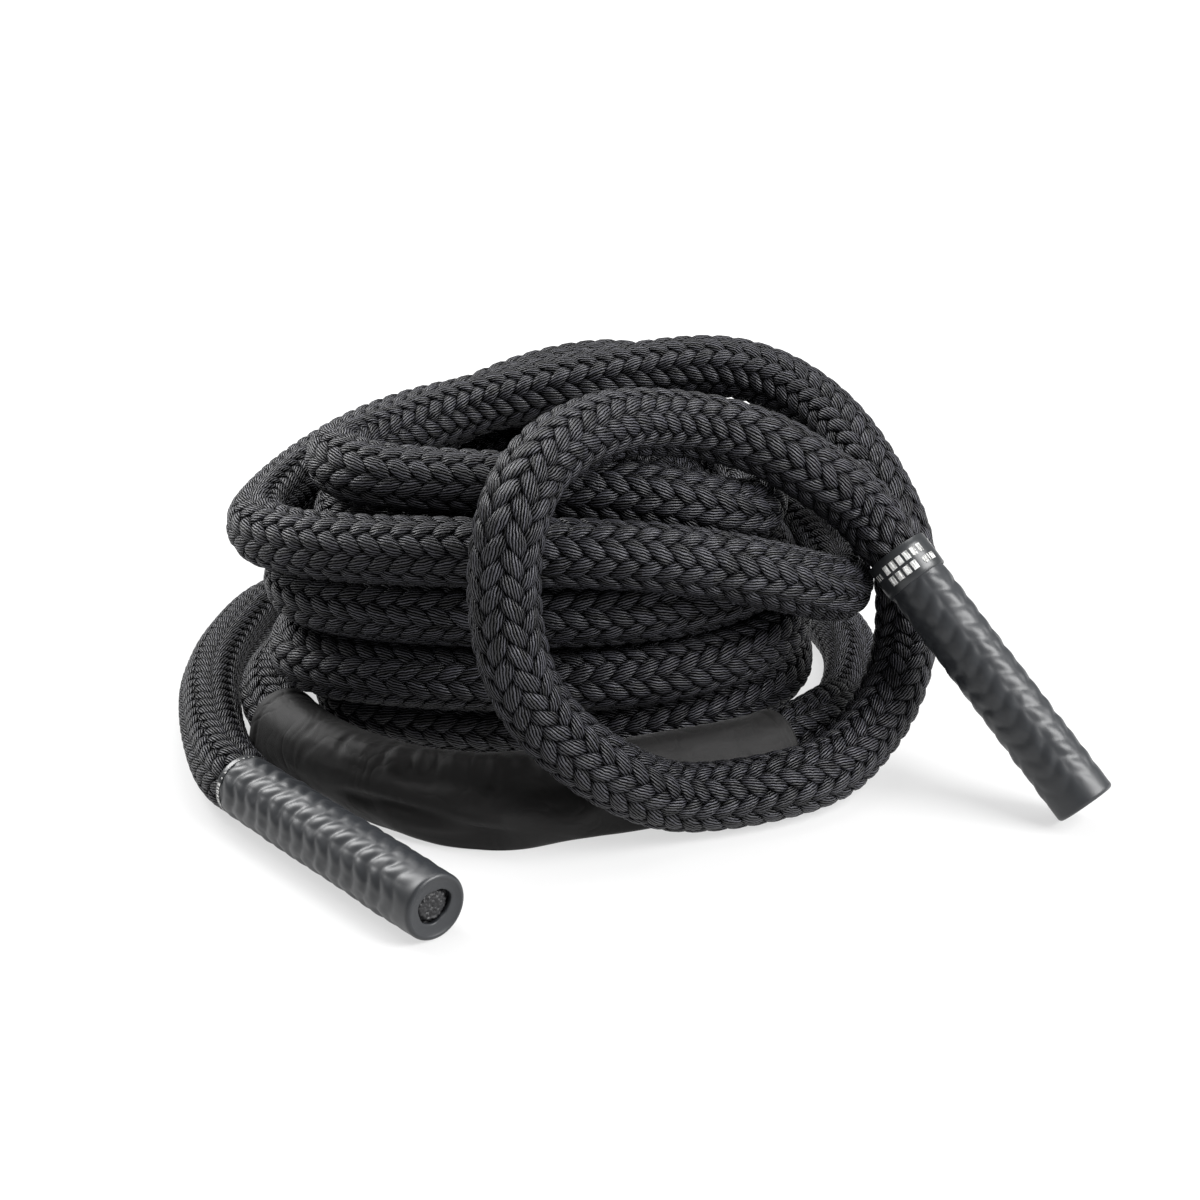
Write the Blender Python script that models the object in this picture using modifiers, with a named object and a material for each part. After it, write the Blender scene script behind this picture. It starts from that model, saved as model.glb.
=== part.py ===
# A braided battle rope, laid down by hand in a pile, with two shrunk-on grips and a wear sleeve.
# The rope follows one centre line: a stretch on the floor, a coil of piled turns and a front loop.
# Every piece takes its place from that line, which settles until no two strands touch.

import math

import bpy
import bmesh
import numpy as np
from mathutils import Vector

# Rope
ROPE_DIAMETER = 0.038
ROPE_RADIUS = ROPE_DIAMETER / 2
FLOOR_CUT_SHARE = 0.1
FLOOR_HEIGHT = ROPE_RADIUS - FLOOR_CUT_SHARE * ROPE_DIAMETER
BUTT_GAP = 0.0003
STRAND_GAP = 0.0013

# Grips, shrunk over the rope's two ends
GRIP_LENGTH = 0.176
GRIP_RADIUS = 0.0176
GRIP_WALL = 0.0015
GRIP_ROUNDING = 0.0035
GRIP_MOUTH_RADIUS = 0.0105
GRIP_CLEARANCE = 0.0004
NECK_RADIUS = 0.0168
NECK_TAPER = 0.010
GRIP_SIDES = 24
ROUNDING_STEPS = 4

# Label bands. The right one goes round the grip at its mouth. The left tube is drawn over most of
# its band, so a narrow strip of it shows, round the rope's neck.
RIGHT_BAND_WIDTH = 0.020
LEFT_BAND_WIDTH = 0.004
BAND_WALL = 0.0007
BAND_CLEARANCE = 0.0003
BAND_EDGE = 0.0002

# Wear sleeve, a loose cloth tube round the bottom stretch
SLEEVE_LENGTH = 0.370
SLEEVE_SETBACK = 0.062
SLEEVE_WALL = 0.0010
SLEEVE_CLEARANCE = 0.0006
SLEEVE_BELLY = 0.0110
SLEEVE_INNER = ROPE_RADIUS + SLEEVE_CLEARANCE
SLEEVE_OUTER = SLEEVE_INNER + SLEEVE_WALL

# Floor block that flattens the strands which the pile stands on
FLOOR_BLOCK_DEPTH = 0.050
FLOOR_BLOCK_MARGIN = 0.040

# Places along the route in rope diameters: x, y and the height above the strands on the floor.
# The floor stretch starts at the left grip and ends at the coil.
FLOOR_ROUTE_SHARES = [
    (-5.38, -3.29, 0.06), (-6.07, -2.12, 0.00), (-6.52, -0.45, 0.00), (-6.82, 1.18, 0.00),
    (-6.84, 3.20, 0.00), (-6.40, 5.30, 0.00), (-4.60, 7.00, 0.00), (-1.53, 7.60, 0.00),
    (1.75, 6.95, 0.00), (3.75, 5.00, 0.00), (4.20, 2.90, 0.00), (3.95, 1.00, 0.00),
    (3.34, -0.53, 0.00), (2.29, -1.68, 0.00), (1.26, -2.21, 0.00), (0.53, -2.58, 0.00),
    (-0.21, -2.97, 0.00), (-0.87, -3.29, 0.00), (-1.92, -3.58, 0.00), (-3.11, -3.37, 0.00),
    (-4.42, -2.47, 0.00), (-5.32, -1.16, 0.00),
]
# The left, back, right and front of each turn of the coil, from the floor up
TURN_SHARES = [
    ((-5.58, 0.34, 0.00), (-0.87, 5.08, 0.00), (2.37, 0.47, 0.00), (-0.87, -1.16, 0.00)),
    ((-3.58, 0.08, 0.00), (-0.87, 4.58, 1.17), (2.70, 0.61, 0.80), (-0.87, -2.05, 0.46)),
    ((-4.53, -0.32, 0.38), (-0.87, 5.29, 1.93), (2.53, 0.08, 1.62), (-0.87, -2.47, 1.46)),
    ((-5.05, -0.58, 1.33), (-0.87, 4.58, 2.64), (2.53, -0.21, 2.46), (-0.87, -2.68, 2.49)),
    ((-4.89, -0.53, 2.30), (-0.87, 5.29, 3.36), (3.74, -0.71, 2.43), (-0.87, -2.95, 3.51)),
    ((-5.45, -0.66, 3.25), (-0.87, 4.58, 4.07), (1.37, -0.18, 3.43), (-0.87, -1.37, 3.49)),
    ((-4.24, -0.32, 3.33), (-0.08, 3.74, 4.72), (2.24, -0.71, 3.20), (-0.87, -2.03, 4.30)),
]
# The front loop runs from the coil's top over the pile, round and down to the floor, and back
# over itself to the right grip
LOOP_ROUTE_SHARES = [
    (-2.50, -1.89, 4.30), (-3.71, -1.50, 4.30), (-4.18, -0.79, 4.28), (-4.07, 0.08, 4.22),
    (-3.26, 1.13, 4.28), (-2.67, 1.66, 4.36), (-1.88, 2.00, 4.46), (-0.89, 2.18, 4.59),
    (0.13, 2.39, 4.64), (1.15, 2.53, 4.67), (2.05, 2.47, 4.67), (2.79, 2.16, 4.51),
    (3.42, 1.53, 4.17), (3.84, 0.53, 3.70), (4.21, -0.24, 2.93), (4.33, -0.53, 2.04),
    (4.31, -0.66, 1.25), (4.08, -1.12, 0.72), (3.56, -1.75, 0.24), (2.97, -2.45, 0.00),
    (2.09, -3.10, 0.00), (1.25, -3.43, 0.00), (0.52, -3.74, 0.17), (-0.21, -4.18, 0.72),
    (-1.05, -4.37, 1.51), (-1.47, -4.50, 2.51), (-1.57, -4.32, 3.41), (-1.46, -4.05, 4.22),
    (-1.12, -3.34, 4.75), (-0.43, -2.42, 4.93), (0.38, -1.63, 4.88), (1.28, -1.25, 4.77),
    (2.20, -1.20, 4.56), (3.06, -1.08, 4.12), (3.76, -0.99, 3.68), (4.26, -1.38, 3.08),
]
QUARTER_POINTS = 6
FLOOR_ROUTE_POINTS = 46
LOOP_ROUTE_POINTS = 42
CURVE_STEPS = 8
LEFT_GRIP_TURN = math.radians(-48.4)
RIGHT_GRIP_TURN = math.radians(-38.0)

# How the line settles: strands that lie too near push apart, bends ease, and each point
# stays near the place that the tables give it
SETTLE_ROUNDS = 500
LATE_SHARE = 0.7
PUSH_SHARE = 0.375
EASE_SHARE = 0.4
SPREAD_SHARE = 0.3
LATE_SPREAD_SHARE = 0.05
HOLD_SHARE = 0.99
NEIGHBOUR_STEPS = 3
REACH = 0.090
TIGHTEST_BEND = 0.046
NEARLY_PARALLEL = 1e-9
LEAST_LENGTH = 1e-12

# The sleeve's section, from under the rope round by the front: across and up in shares of its
# radius, then the share of the belly, where the cloth sags forward on the floor
SLEEVE_SECTION_SHARES = [
    (0.00, -1.00, 0.00), (0.55, -1.00, 0.35), (0.95, -1.00, 1.00), (0.98, -0.62, 0.55),
    (1.00, 0.00, 0.05), (0.92, 0.38, 0.00), (0.71, 0.71, 0.00), (0.38, 0.92, 0.00),
    (0.00, 1.00, 0.00), (-0.38, 0.92, 0.00), (-0.71, 0.71, 0.00), (-0.92, 0.38, 0.00),
    (-1.00, 0.00, 0.00), (-0.92, -0.38, 0.00), (-0.71, -0.71, 0.00), (-0.38, -0.92, 0.00),
]

# Corners nearer than this become one when a piece is made
MERGE_DISTANCE = 1e-5

UP = Vector((0, 0, 1))


# Scene and materials
def clear_scene():
    for thing in list(bpy.data.objects):
        bpy.data.objects.remove(thing, do_unlink=True)


def collection(name):
    group = bpy.data.collections.new(name)
    bpy.context.scene.collection.children.link(group)
    return group


def material(name, colour, roughness):
    paint = bpy.data.materials.new(name)
    paint.use_nodes = True
    shader = paint.node_tree.nodes["Principled BSDF"]
    shader.inputs["Base Color"].default_value = (*colour, 1)
    shader.inputs["Roughness"].default_value = roughness
    shader.inputs["Metallic"].default_value = 0
    return paint


def finish(thing, paint, group):
    thing.data.materials.append(paint)
    thing.data.shade_smooth()
    thing.data.set_sharp_from_angle(angle=math.radians(35))
    group.objects.link(thing)
    return thing


# The rope's centre line
def curve_through(points):
    """Points along a smooth curve that passes each given point, closer where those are close."""
    p = np.array(points, float)
    p = np.vstack([2 * p[0] - p[1], p, 2 * p[-1] - p[-2]])
    found = []
    for a, b, c, d in zip(p, p[1:], p[2:], p[3:]):
        t1 = np.linalg.norm(b - a) ** 0.5
        t2 = t1 + np.linalg.norm(c - b) ** 0.5
        t3 = t2 + np.linalg.norm(d - c) ** 0.5
        for t in t1 + (t2 - t1) * np.arange(CURVE_STEPS) / CURVE_STEPS:
            ab = a + (b - a) * t / t1
            bc = b + (c - b) * (t - t1) / (t2 - t1)
            cd = c + (d - c) * (t - t2) / (t3 - t2)
            abc = ab + (bc - ab) * t / t2
            bcd = bc + (cd - bc) * (t - t1) / (t3 - t1)
            found.append(abc + (bcd - abc) * (t - t1) / (t2 - t1))
    return np.array(found + [p[-2]])


def run_of(line):
    """The distance along the line to each of its points."""
    return np.concatenate([[0], np.cumsum(np.linalg.norm(np.diff(line, axis=0), axis=1))])


def at(line, run, places):
    return np.column_stack([np.interp(places, run, line[:, axis]) for axis in range(3)])


def evenly(line, count):
    run = run_of(line)
    return at(line, run, np.linspace(0, run[-1], count))


def quarter_turn(start, end, leaves_along_y):
    """A quarter of an ellipse in plan that climbs gently from start to end."""
    found = []
    for step in range(QUARTER_POINTS):
        angle = math.pi / 2 * step / QUARTER_POINTS
        rise = (1 - math.cos(2 * angle)) / 2
        if leaves_along_y:
            x = end[0] + (start[0] - end[0]) * math.cos(angle)
            y = start[1] + (end[1] - start[1]) * math.sin(angle)
        else:
            x = start[0] + (end[0] - start[0]) * math.sin(angle)
            y = end[1] + (start[1] - end[1]) * math.cos(angle)
        found.append((x, y, start[2] + (end[2] - start[2]) * rise))
    return found


def coil_places():
    corners = [corner for turn in TURN_SHARES for corner in turn]
    found = []
    for number, (start, end) in enumerate(zip(corners, corners[1:])):
        found += quarter_turn(start, end, leaves_along_y=number % 2 == 0)
    return found + [corners[-1]]


def chosen_line():
    """The whole route as chosen, and the numbers of the points where the coil starts and ends."""
    coil = coil_places()
    shares = np.array(FLOOR_ROUTE_SHARES + coil + LOOP_ROUTE_SHARES)
    places = shares * ROPE_DIAMETER + np.array([0, 0, FLOOR_HEIGHT])
    curve = curve_through(places)
    coil_first = len(FLOOR_ROUTE_SHARES)
    coil_last = coil_first + len(coil) - 1
    floor_part = evenly(curve[: coil_first * CURVE_STEPS + 1], FLOOR_ROUTE_POINTS)
    loop_part = evenly(curve[coil_last * CURVE_STEPS:], LOOP_ROUTE_POINTS)
    line = np.vstack([floor_part[:-1], places[coil_first: coil_last + 1], loop_part[1:]])
    return line, len(floor_part) - 1, len(floor_part) - 1 + len(coil) - 1


def nearest(line, first, second):
    """How the numbered segments pass: the vector from second to first and the share along each."""
    along_a = line[first + 1] - line[first]
    along_b = line[second + 1] - line[second]
    apart = line[first] - line[second]
    aa = (along_a * along_a).sum(1)
    bb = (along_b * along_b).sum(1)
    ab = (along_a * along_b).sum(1)
    a_apart = (along_a * apart).sum(1)
    b_apart = (along_b * apart).sum(1)
    spread = aa * bb - ab * ab
    crossing = spread > aa * bb * NEARLY_PARALLEL
    share_a = (ab * b_apart - a_apart * bb) / np.where(crossing, spread, 1)
    share_a = np.where(crossing, np.clip(share_a, 0, 1), 0.5)
    share_b = np.clip((ab * share_a + b_apart) / bb, 0, 1)
    share_a = np.clip((ab * share_b - a_apart) / aa, 0, 1)
    gap = apart + along_a * share_a[:, None] - along_b * share_b[:, None]
    return gap, share_a, share_b


def segment_pairs(line):
    numbers = np.arange(len(line) - 1)
    return np.nonzero(numbers[None, :] - numbers[:, None] >= NEIGHBOUR_STEPS)


def pushes(line, radii, pairs):
    """How far each point is pushed by the strands that lie too near it."""
    first, second = pairs
    middles = (line[:-1] + line[1:]) / 2
    close = ((middles[first] - middles[second]) ** 2).sum(1) < REACH * REACH
    first, second = first[close], second[close]
    gap, share_a, share_b = nearest(line, first, second)
    distance = np.linalg.norm(gap, axis=1)
    short = np.maximum(radii[first] + radii[second] + STRAND_GAP - distance, 0)
    push = gap / distance[:, None] * (PUSH_SHARE * short)[:, None]
    moved = np.zeros_like(line)
    touches = np.zeros(len(line))
    ends = ((first, 1 - share_a, 1), (first + 1, share_a, 1), (second, 1 - share_b, -1), (second + 1, share_b, -1))
    for points, share, way in ends:
        np.add.at(moved, points, push * (way * share)[:, None])
        np.add.at(touches, points, share * (short > 0))
    return moved / np.maximum(touches / 2, 1)[:, None]


def easing(line):
    """How far each point moves where the line bends more tightly than the rope can."""
    step = np.linalg.norm(line[2:] - line[:-2], axis=1) / 2
    inward = (line[:-2] + line[2:]) / 2 - line[1:-1]
    depth = np.maximum(np.linalg.norm(inward, axis=1), LEAST_LENGTH)
    excess = np.maximum(depth - step * step / (2 * TIGHTEST_BEND), 0)
    shift = inward / depth[:, None] * (excess * EASE_SHARE)[:, None]
    moved = np.zeros_like(line)
    moved[1:-1] += shift
    moved[:-2] -= shift / 2
    moved[2:] -= shift / 2
    return moved


def settled(home, radii, lowest, joints):
    line = home.copy()
    pairs = segment_pairs(line)
    free = np.ones(len(line))
    free[[0, 1, -2, -1]] = 0
    for turn in range(SETTLE_ROUNDS):
        late = turn >= SETTLE_ROUNDS * LATE_SHARE
        line = line + pushes(line, radii, pairs) * free[:, None]
        line = line + easing(line) * free[:, None]
        drift = line - home
        bend = np.zeros_like(drift)
        bend[1:-1] = (drift[:-2] + drift[2:]) / 2 - drift[1:-1]
        drift += bend * (LATE_SPREAD_SHARE if late else SPREAD_SHARE)
        drift *= free[:, None] * (1 if late else HOLD_SHARE)
        line = home + drift
        for joint in joints:
            line[joint] = (line[joint - 1] + line[joint + 1]) / 2
        line[:, 2] = np.maximum(line[:, 2], lowest)
    return line


def least_gap(line, radii):
    first, second = segment_pairs(line)
    gap, _, _ = nearest(line, first, second)
    return float((np.linalg.norm(gap, axis=1) - radii[first] - radii[second]).min())


def rope_line():
    """The settled line, the coil's first and last point and the run of the sleeve's two ends."""
    home, coil_first, coil_last = chosen_line()
    run = run_of(home)
    sleeve_end = run[coil_first] - SLEEVE_SETBACK
    sleeve_start = sleeve_end - SLEEVE_LENGTH
    middles = (run[:-1] + run[1:]) / 2
    step = run[coil_first] / coil_first
    sleeved = (middles > sleeve_start - step) & (middles < sleeve_end + step)
    radii = np.where(sleeved, SLEEVE_OUTER, ROPE_RADIUS)
    lowest = np.full(len(home), FLOOR_HEIGHT)
    lowest[:-1][sleeved] = SLEEVE_OUTER
    lowest[1:][sleeved] = SLEEVE_OUTER
    home[:, 2] = np.maximum(home[:, 2], lowest)
    home[0, 2] = GRIP_RADIUS + BUTT_GAP
    line = settled(home, radii, lowest, (coil_first, coil_last))
    coil_radii = radii[coil_first:coil_last]
    print("least gap of the coil to itself, mm:", round(1000 * least_gap(line[coil_first: coil_last + 1], coil_radii), 2))
    print("least gap of the whole rope, mm:", round(1000 * least_gap(line, radii), 2))
    settled_run = run_of(line)
    sleeve_end = settled_run[coil_first] - SLEEVE_SETBACK
    print("rope length, m:", round(settled_run[-1] + 2 * GRIP_LENGTH, 3))
    return line, coil_first, coil_last, (sleeve_end - SLEEVE_LENGTH, sleeve_end)


def resting_place(line, first, last):
    """The middle of a stretch of the coil that lies on the floor, halfway along those that do."""
    highest = np.maximum(line[first:last, 2], line[first + 1: last + 1, 2])
    resting = first + np.nonzero(highest < FLOOR_HEIGHT + BUTT_GAP)[0]
    number = resting[len(resting) // 2]
    return Vector((line[number] + line[number + 1]) / 2)


def stretch(line, start, end):
    """The part of the line between two distances along it, with a point at each."""
    run = run_of(line)
    inside = line[(run > start + BUTT_GAP) & (run < end - BUTT_GAP)]
    return np.vstack([at(line, run, [start]), inside, at(line, run, [end])])


def butted(line, first, last):
    """The line between two points, drawn back at each by half the gap to the next piece."""
    points = line[first: last + 1].copy()
    for end, inner in ((0, 1), (-1, -2)):
        way = points[inner] - points[end]
        points[end] += way / np.linalg.norm(way) * BUTT_GAP / 2
    return points


# Grips: each is placed at its mouth on the rope, and points away from the rope
def grip_way(turn, mouth_height):
    """A grip leans down from its mouth until the rim of its end touches the floor."""
    rim = math.hypot(GRIP_LENGTH, GRIP_RADIUS)
    lean = math.asin(mouth_height / rim) - math.atan2(GRIP_RADIUS, GRIP_LENGTH)
    flat = math.cos(lean)
    return Vector((flat * math.cos(turn), flat * math.sin(turn), -math.sin(lean)))


def gripped_end(mouth, way, band_width):
    """The rope's points and radii from outside a band on it to its cut end inside the grip."""
    mouth = np.array(mouth)
    way = np.array(way)
    inner = (GRIP_RADIUS - GRIP_WALL) * math.cos(math.pi / GRIP_SIDES) - GRIP_CLEARANCE
    cut_end = GRIP_LENGTH - GRIP_WALL - GRIP_CLEARANCE
    neck = -band_width - 2 * BUTT_GAP
    places = (neck - NECK_TAPER, neck, -BUTT_GAP, cut_end)
    radii = (ROPE_RADIUS, NECK_RADIUS, inner, inner)
    return [mouth + way * place for place in places], list(radii)


# Solids
def tube(name, points, radii, resolution):
    """A round bar along the points, closed at both ends, with the radius given at each."""
    curve = bpy.data.curves.new(name, "CURVE")
    curve.dimensions = "3D"
    curve.bevel_depth = ROPE_RADIUS
    curve.bevel_resolution = resolution
    curve.use_fill_caps = True
    spline = curve.splines.new("POLY")
    spline.points.add(len(points) - 1)
    for point, place, radius in zip(spline.points, points, radii):
        point.co = (*place, 1)
        point.radius = radius / ROPE_RADIUS
    thing = bpy.data.objects.new(name + "_curve", curve)
    bpy.context.scene.collection.objects.link(thing)
    bpy.context.view_layer.update()
    mesh = bpy.data.meshes.new_from_object(thing.evaluated_get(bpy.context.evaluated_depsgraph_get()))
    bpy.data.objects.remove(thing, do_unlink=True)
    work = bmesh.new()
    work.from_mesh(mesh)
    bmesh.ops.remove_doubles(work, verts=work.verts, dist=MERGE_DISTANCE)
    bmesh.ops.recalc_face_normals(work, faces=work.faces)
    work.to_mesh(mesh)
    work.free()
    mesh.name = name
    mesh.materials.clear()
    return bpy.data.objects.new(name, mesh)


def turned(name, profile):
    """A closed section turned round the Z axis."""
    mesh = bpy.data.meshes.new(name)
    work = bmesh.new()
    corners = [work.verts.new((radius, 0, height)) for radius, height in profile]
    for first, second in zip(corners, corners[1:] + corners[:1]):
        work.edges.new((first, second))
    work.to_mesh(mesh)
    work.free()
    thing = bpy.data.objects.new(name, mesh)
    screw = thing.modifiers.new("turned", "SCREW")
    screw.axis = "Z"
    screw.steps = GRIP_SIDES
    screw.render_steps = GRIP_SIDES
    screw.use_merge_vertices = True
    screw.merge_threshold = MERGE_DISTANCE
    screw.use_smooth_shade = True
    return thing


def stand_at(thing, mouth, way):
    """Places a turned piece with its top at the mouth and its length along the given way."""
    thing.location = mouth
    thing.rotation_euler = way.to_track_quat("-Z", "Y").to_euler()
    return thing


def grip_profile():
    """Down the outer side, round the end and into its mouth, and back up the bore."""
    outer = GRIP_RADIUS
    bore = GRIP_RADIUS - GRIP_WALL
    profile = [(outer, 0)]
    for step in range(ROUNDING_STEPS + 1):
        angle = math.pi / 2 * step / ROUNDING_STEPS
        radius = outer - GRIP_ROUNDING * (1 - math.cos(angle))
        profile.append((radius, -GRIP_LENGTH + GRIP_ROUNDING * (1 - math.sin(angle))))
    profile += [(GRIP_MOUTH_RADIUS, -GRIP_LENGTH), (GRIP_MOUTH_RADIUS, -GRIP_LENGTH + GRIP_WALL)]
    return profile + [(bore, -GRIP_LENGTH + GRIP_WALL), (bore, 0)]


def band_profile(held, low, width):
    """Down the outer side and back up the inner side of a film round a thing of the held radius."""
    high = low + width
    inner = held + BAND_CLEARANCE
    outer = inner + BAND_WALL
    return [
        (outer - BAND_EDGE, high), (outer, high - BAND_EDGE), (outer, low + BAND_EDGE),
        (outer - BAND_EDGE, low), (inner, low), (inner, high),
    ]


def sleeve_rings(points, radius, belly):
    """One ring of the sleeve's section at each point, level across and forward of the line."""
    run = run_of(points)
    rings = []
    for number, place in enumerate(points):
        before = points[max(number - 1, 0)]
        after = points[min(number + 1, len(points) - 1)]
        way = Vector(after - before)
        forward = UP.cross(way).normalized()
        sag = belly * math.sin(math.pi * run[number] / run[-1]) ** 2
        rings.append([
            Vector(place) + forward * (across * radius + share * sag) + UP * (up * radius)
            for across, up, share in SLEEVE_SECTION_SHARES
        ])
    return rings


def shell(name, outer_rings, inner_rings):
    """A tube wall between two lofts, joined by a rim at each end."""
    mesh = bpy.data.meshes.new(name)
    work = bmesh.new()
    walls = []
    for rings in (outer_rings, inner_rings):
        walls.append([[work.verts.new(place) for place in ring] for ring in rings])
    count = len(SLEEVE_SECTION_SHARES)
    for wall in walls:
        for ring, following in zip(wall, wall[1:]):
            for k in range(count):
                after = (k + 1) % count
                work.faces.new((ring[k], ring[after], following[after], following[k]))
    for number in (0, -1):
        outer, inner = walls[0][number], walls[1][number]
        for k in range(count):
            after = (k + 1) % count
            work.faces.new((outer[k], outer[after], inner[after], inner[k]))
    bmesh.ops.recalc_face_normals(work, faces=work.faces)
    work.to_mesh(mesh)
    work.free()
    return bpy.data.objects.new(name, mesh)


def floor_block(line, group):
    """The cutter below the floor that flattens what stands on it."""
    low = line.min(axis=0) - FLOOR_BLOCK_MARGIN
    high = line.max(axis=0) + FLOOR_BLOCK_MARGIN
    mesh = bpy.data.meshes.new("floor_block")
    work = bmesh.new()
    bmesh.ops.create_cube(work, size=1)
    size = (high[0] - low[0], high[1] - low[1], FLOOR_BLOCK_DEPTH)
    bmesh.ops.scale(work, vec=size, verts=work.verts)
    middle = ((high[0] + low[0]) / 2, (high[1] + low[1]) / 2, -FLOOR_BLOCK_DEPTH / 2)
    bmesh.ops.translate(work, vec=middle, verts=work.verts)
    work.to_mesh(mesh)
    work.free()
    block = bpy.data.objects.new("floor_block", mesh)
    block.hide_render = True
    block.display_type = "WIRE"
    group.objects.link(block)
    return block


def flatten(thing, block):
    cut = thing.modifiers.new("flat underside", "BOOLEAN")
    cut.operation = "DIFFERENCE"
    cut.solver = "EXACT"
    cut.object = block
    return thing


def centre(parts, cutters):
    """Moves the whole pile so that its origin is the middle of its base."""
    bpy.context.view_layer.update()
    ready = bpy.context.evaluated_depsgraph_get()
    corners = []
    for part in parts:
        shown = part.evaluated_get(ready)
        corners += [shown.matrix_world @ vertex.co for vertex in shown.data.vertices]
    low = [min(corner[axis] for corner in corners) for axis in range(3)]
    high = [max(corner[axis] for corner in corners) for axis in range(3)]
    shift = Vector(((low[0] + high[0]) / 2, (low[1] + high[1]) / 2, 0))
    for thing in parts + cutters:
        thing.location -= shift
    print("shift of the pile, mm:", [round(1000 * value, 2) for value in shift])
    print("size, mm:", [round(1000 * (b - a), 1) for a, b in zip(low, high)], "lowest", round(1000 * low[2], 2))
    return shift


def build():
    clear_scene()
    rope_group = collection("battle_rope")
    cutter_group = collection("cutters")
    braid = material("black_braided_rope", (0.020, 0.020, 0.021), 0.55)
    shrink = material("black_shrink_tube", (0.024, 0.024, 0.026), 0.35)
    label = material("dark_label_film", (0.030, 0.031, 0.034), 0.40)
    cloth = material("black_nylon_cloth", (0.016, 0.016, 0.017), 0.65)

    line, coil_first, coil_last, sleeve_ends = rope_line()
    block = floor_block(line, cutter_group)

    left_mouth, right_mouth = Vector(line[0]), Vector(line[-1])
    left_way = grip_way(LEFT_GRIP_TURN, left_mouth.z)
    right_way = grip_way(RIGHT_GRIP_TURN, right_mouth.z)
    left_points, left_radii = gripped_end(left_mouth, left_way, LEFT_BAND_WIDTH)
    right_points, right_radii = gripped_end(right_mouth, right_way, 0)

    floor_points = butted(line, 1, coil_first)
    floor_tube = tube(
        "rope_floor_stretch", left_points[::-1] + list(floor_points),
        left_radii[::-1] + [ROPE_RADIUS] * len(floor_points), 2)
    coil_points = butted(line, coil_first, coil_last)
    coil = tube("rope_coil", coil_points, [ROPE_RADIUS] * len(coil_points), 1)
    loop_points = butted(line, coil_last, len(line) - 2)
    loop = tube(
        "rope_front_loop", list(loop_points) + right_points,
        [ROPE_RADIUS] * len(loop_points) + right_radii, 2)
    parts = [finish(flatten(thing, block), braid, rope_group) for thing in (floor_tube, coil, loop)]

    left_band = band_profile(NECK_RADIUS, BUTT_GAP, LEFT_BAND_WIDTH)
    right_band = band_profile(GRIP_RADIUS, -RIGHT_BAND_WIDTH, RIGHT_BAND_WIDTH)
    ends = (("left", left_mouth, left_way, left_band), ("right", right_mouth, right_way, right_band))
    for side, mouth, way, band_shape in ends:
        grip = stand_at(turned(side + "_grip", grip_profile()), mouth, way)
        band = stand_at(turned(side + "_label_band", band_shape), mouth, way)
        parts.append(finish(grip, shrink, rope_group))
        parts.append(finish(band, label, rope_group))

    path = stretch(line, *sleeve_ends)
    outer = sleeve_rings(path, SLEEVE_OUTER, SLEEVE_BELLY)
    inner = sleeve_rings(path, SLEEVE_INNER, SLEEVE_BELLY - 2 * SLEEVE_WALL)
    parts.append(finish(shell("wear_sleeve", outer, inner), cloth, rope_group))
    shift = centre(parts, [block])
    underside = resting_place(line, coil_first, coil_last) - shift
    print("flat underside of the coil at x, y, mm:", [round(1000 * value, 1) for value in underside[:2]])


build()
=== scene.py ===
# %% [markdown]
# A battle rope for training, laid down by hand in a pile on a white studio floor. The CAD model
# gives every piece its place. This notebook gives each one its looks: a real braid of twenty
# strands, two grips of shrunk plastic tube, two printed bands and a loose cloth sleeve.
# Everything is in metres, in the same frame as the CAD model.

# %% The frame, from the CAD model
import math

import bmesh
import bpy
import numpy as np
from mathutils import Matrix, Vector, noise


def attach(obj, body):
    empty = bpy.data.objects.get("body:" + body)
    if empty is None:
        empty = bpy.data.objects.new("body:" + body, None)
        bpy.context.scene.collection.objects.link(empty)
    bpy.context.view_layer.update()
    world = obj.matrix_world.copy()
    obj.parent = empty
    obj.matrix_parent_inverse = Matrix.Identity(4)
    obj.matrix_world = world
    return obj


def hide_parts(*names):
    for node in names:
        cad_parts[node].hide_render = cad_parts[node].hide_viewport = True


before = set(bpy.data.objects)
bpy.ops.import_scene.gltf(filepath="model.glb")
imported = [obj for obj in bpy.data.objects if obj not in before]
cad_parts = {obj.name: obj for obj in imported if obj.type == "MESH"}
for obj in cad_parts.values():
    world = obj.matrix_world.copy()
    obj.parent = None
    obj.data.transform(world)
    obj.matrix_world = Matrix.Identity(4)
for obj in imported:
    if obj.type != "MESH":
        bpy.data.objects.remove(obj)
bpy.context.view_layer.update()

# %% [markdown]
# The camera stands in front of the pile and a little above it, as a photographer crouches. A
# camera could be moved about until the view looks right. Here its height, its tilt and its angle
# of view were measured on the photograph from the floor and the rope's known thickness, so the
# script only states them.

# %% The camera
MM = 0.001
CAMERA_PLACE = (-6.2 * MM, -1032.4 * MM, 436.0 * MM)
CAMERA_TILT = math.radians(19)
SENSOR_WIDTH = 36
LENS_TO_SENSOR = 1750 / 1200


def new_object(name, data):
    """An object, linked into the scene."""
    made = bpy.data.objects.new(name, data)
    bpy.context.scene.collection.objects.link(made)
    return made


def add_camera():
    data = bpy.data.cameras.new("camera")
    data.sensor_width = SENSOR_WIDTH
    data.lens = SENSOR_WIDTH * LENS_TO_SENSOR
    camera = new_object("camera", data)
    camera.location = CAMERA_PLACE
    camera.rotation_euler = (math.pi / 2 - CAMERA_TILT, 0, 0)
    bpy.context.scene.camera = camera
    return camera


camera = add_camera()
print("camera lens, mm:", round(camera.data.lens, 1))
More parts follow.
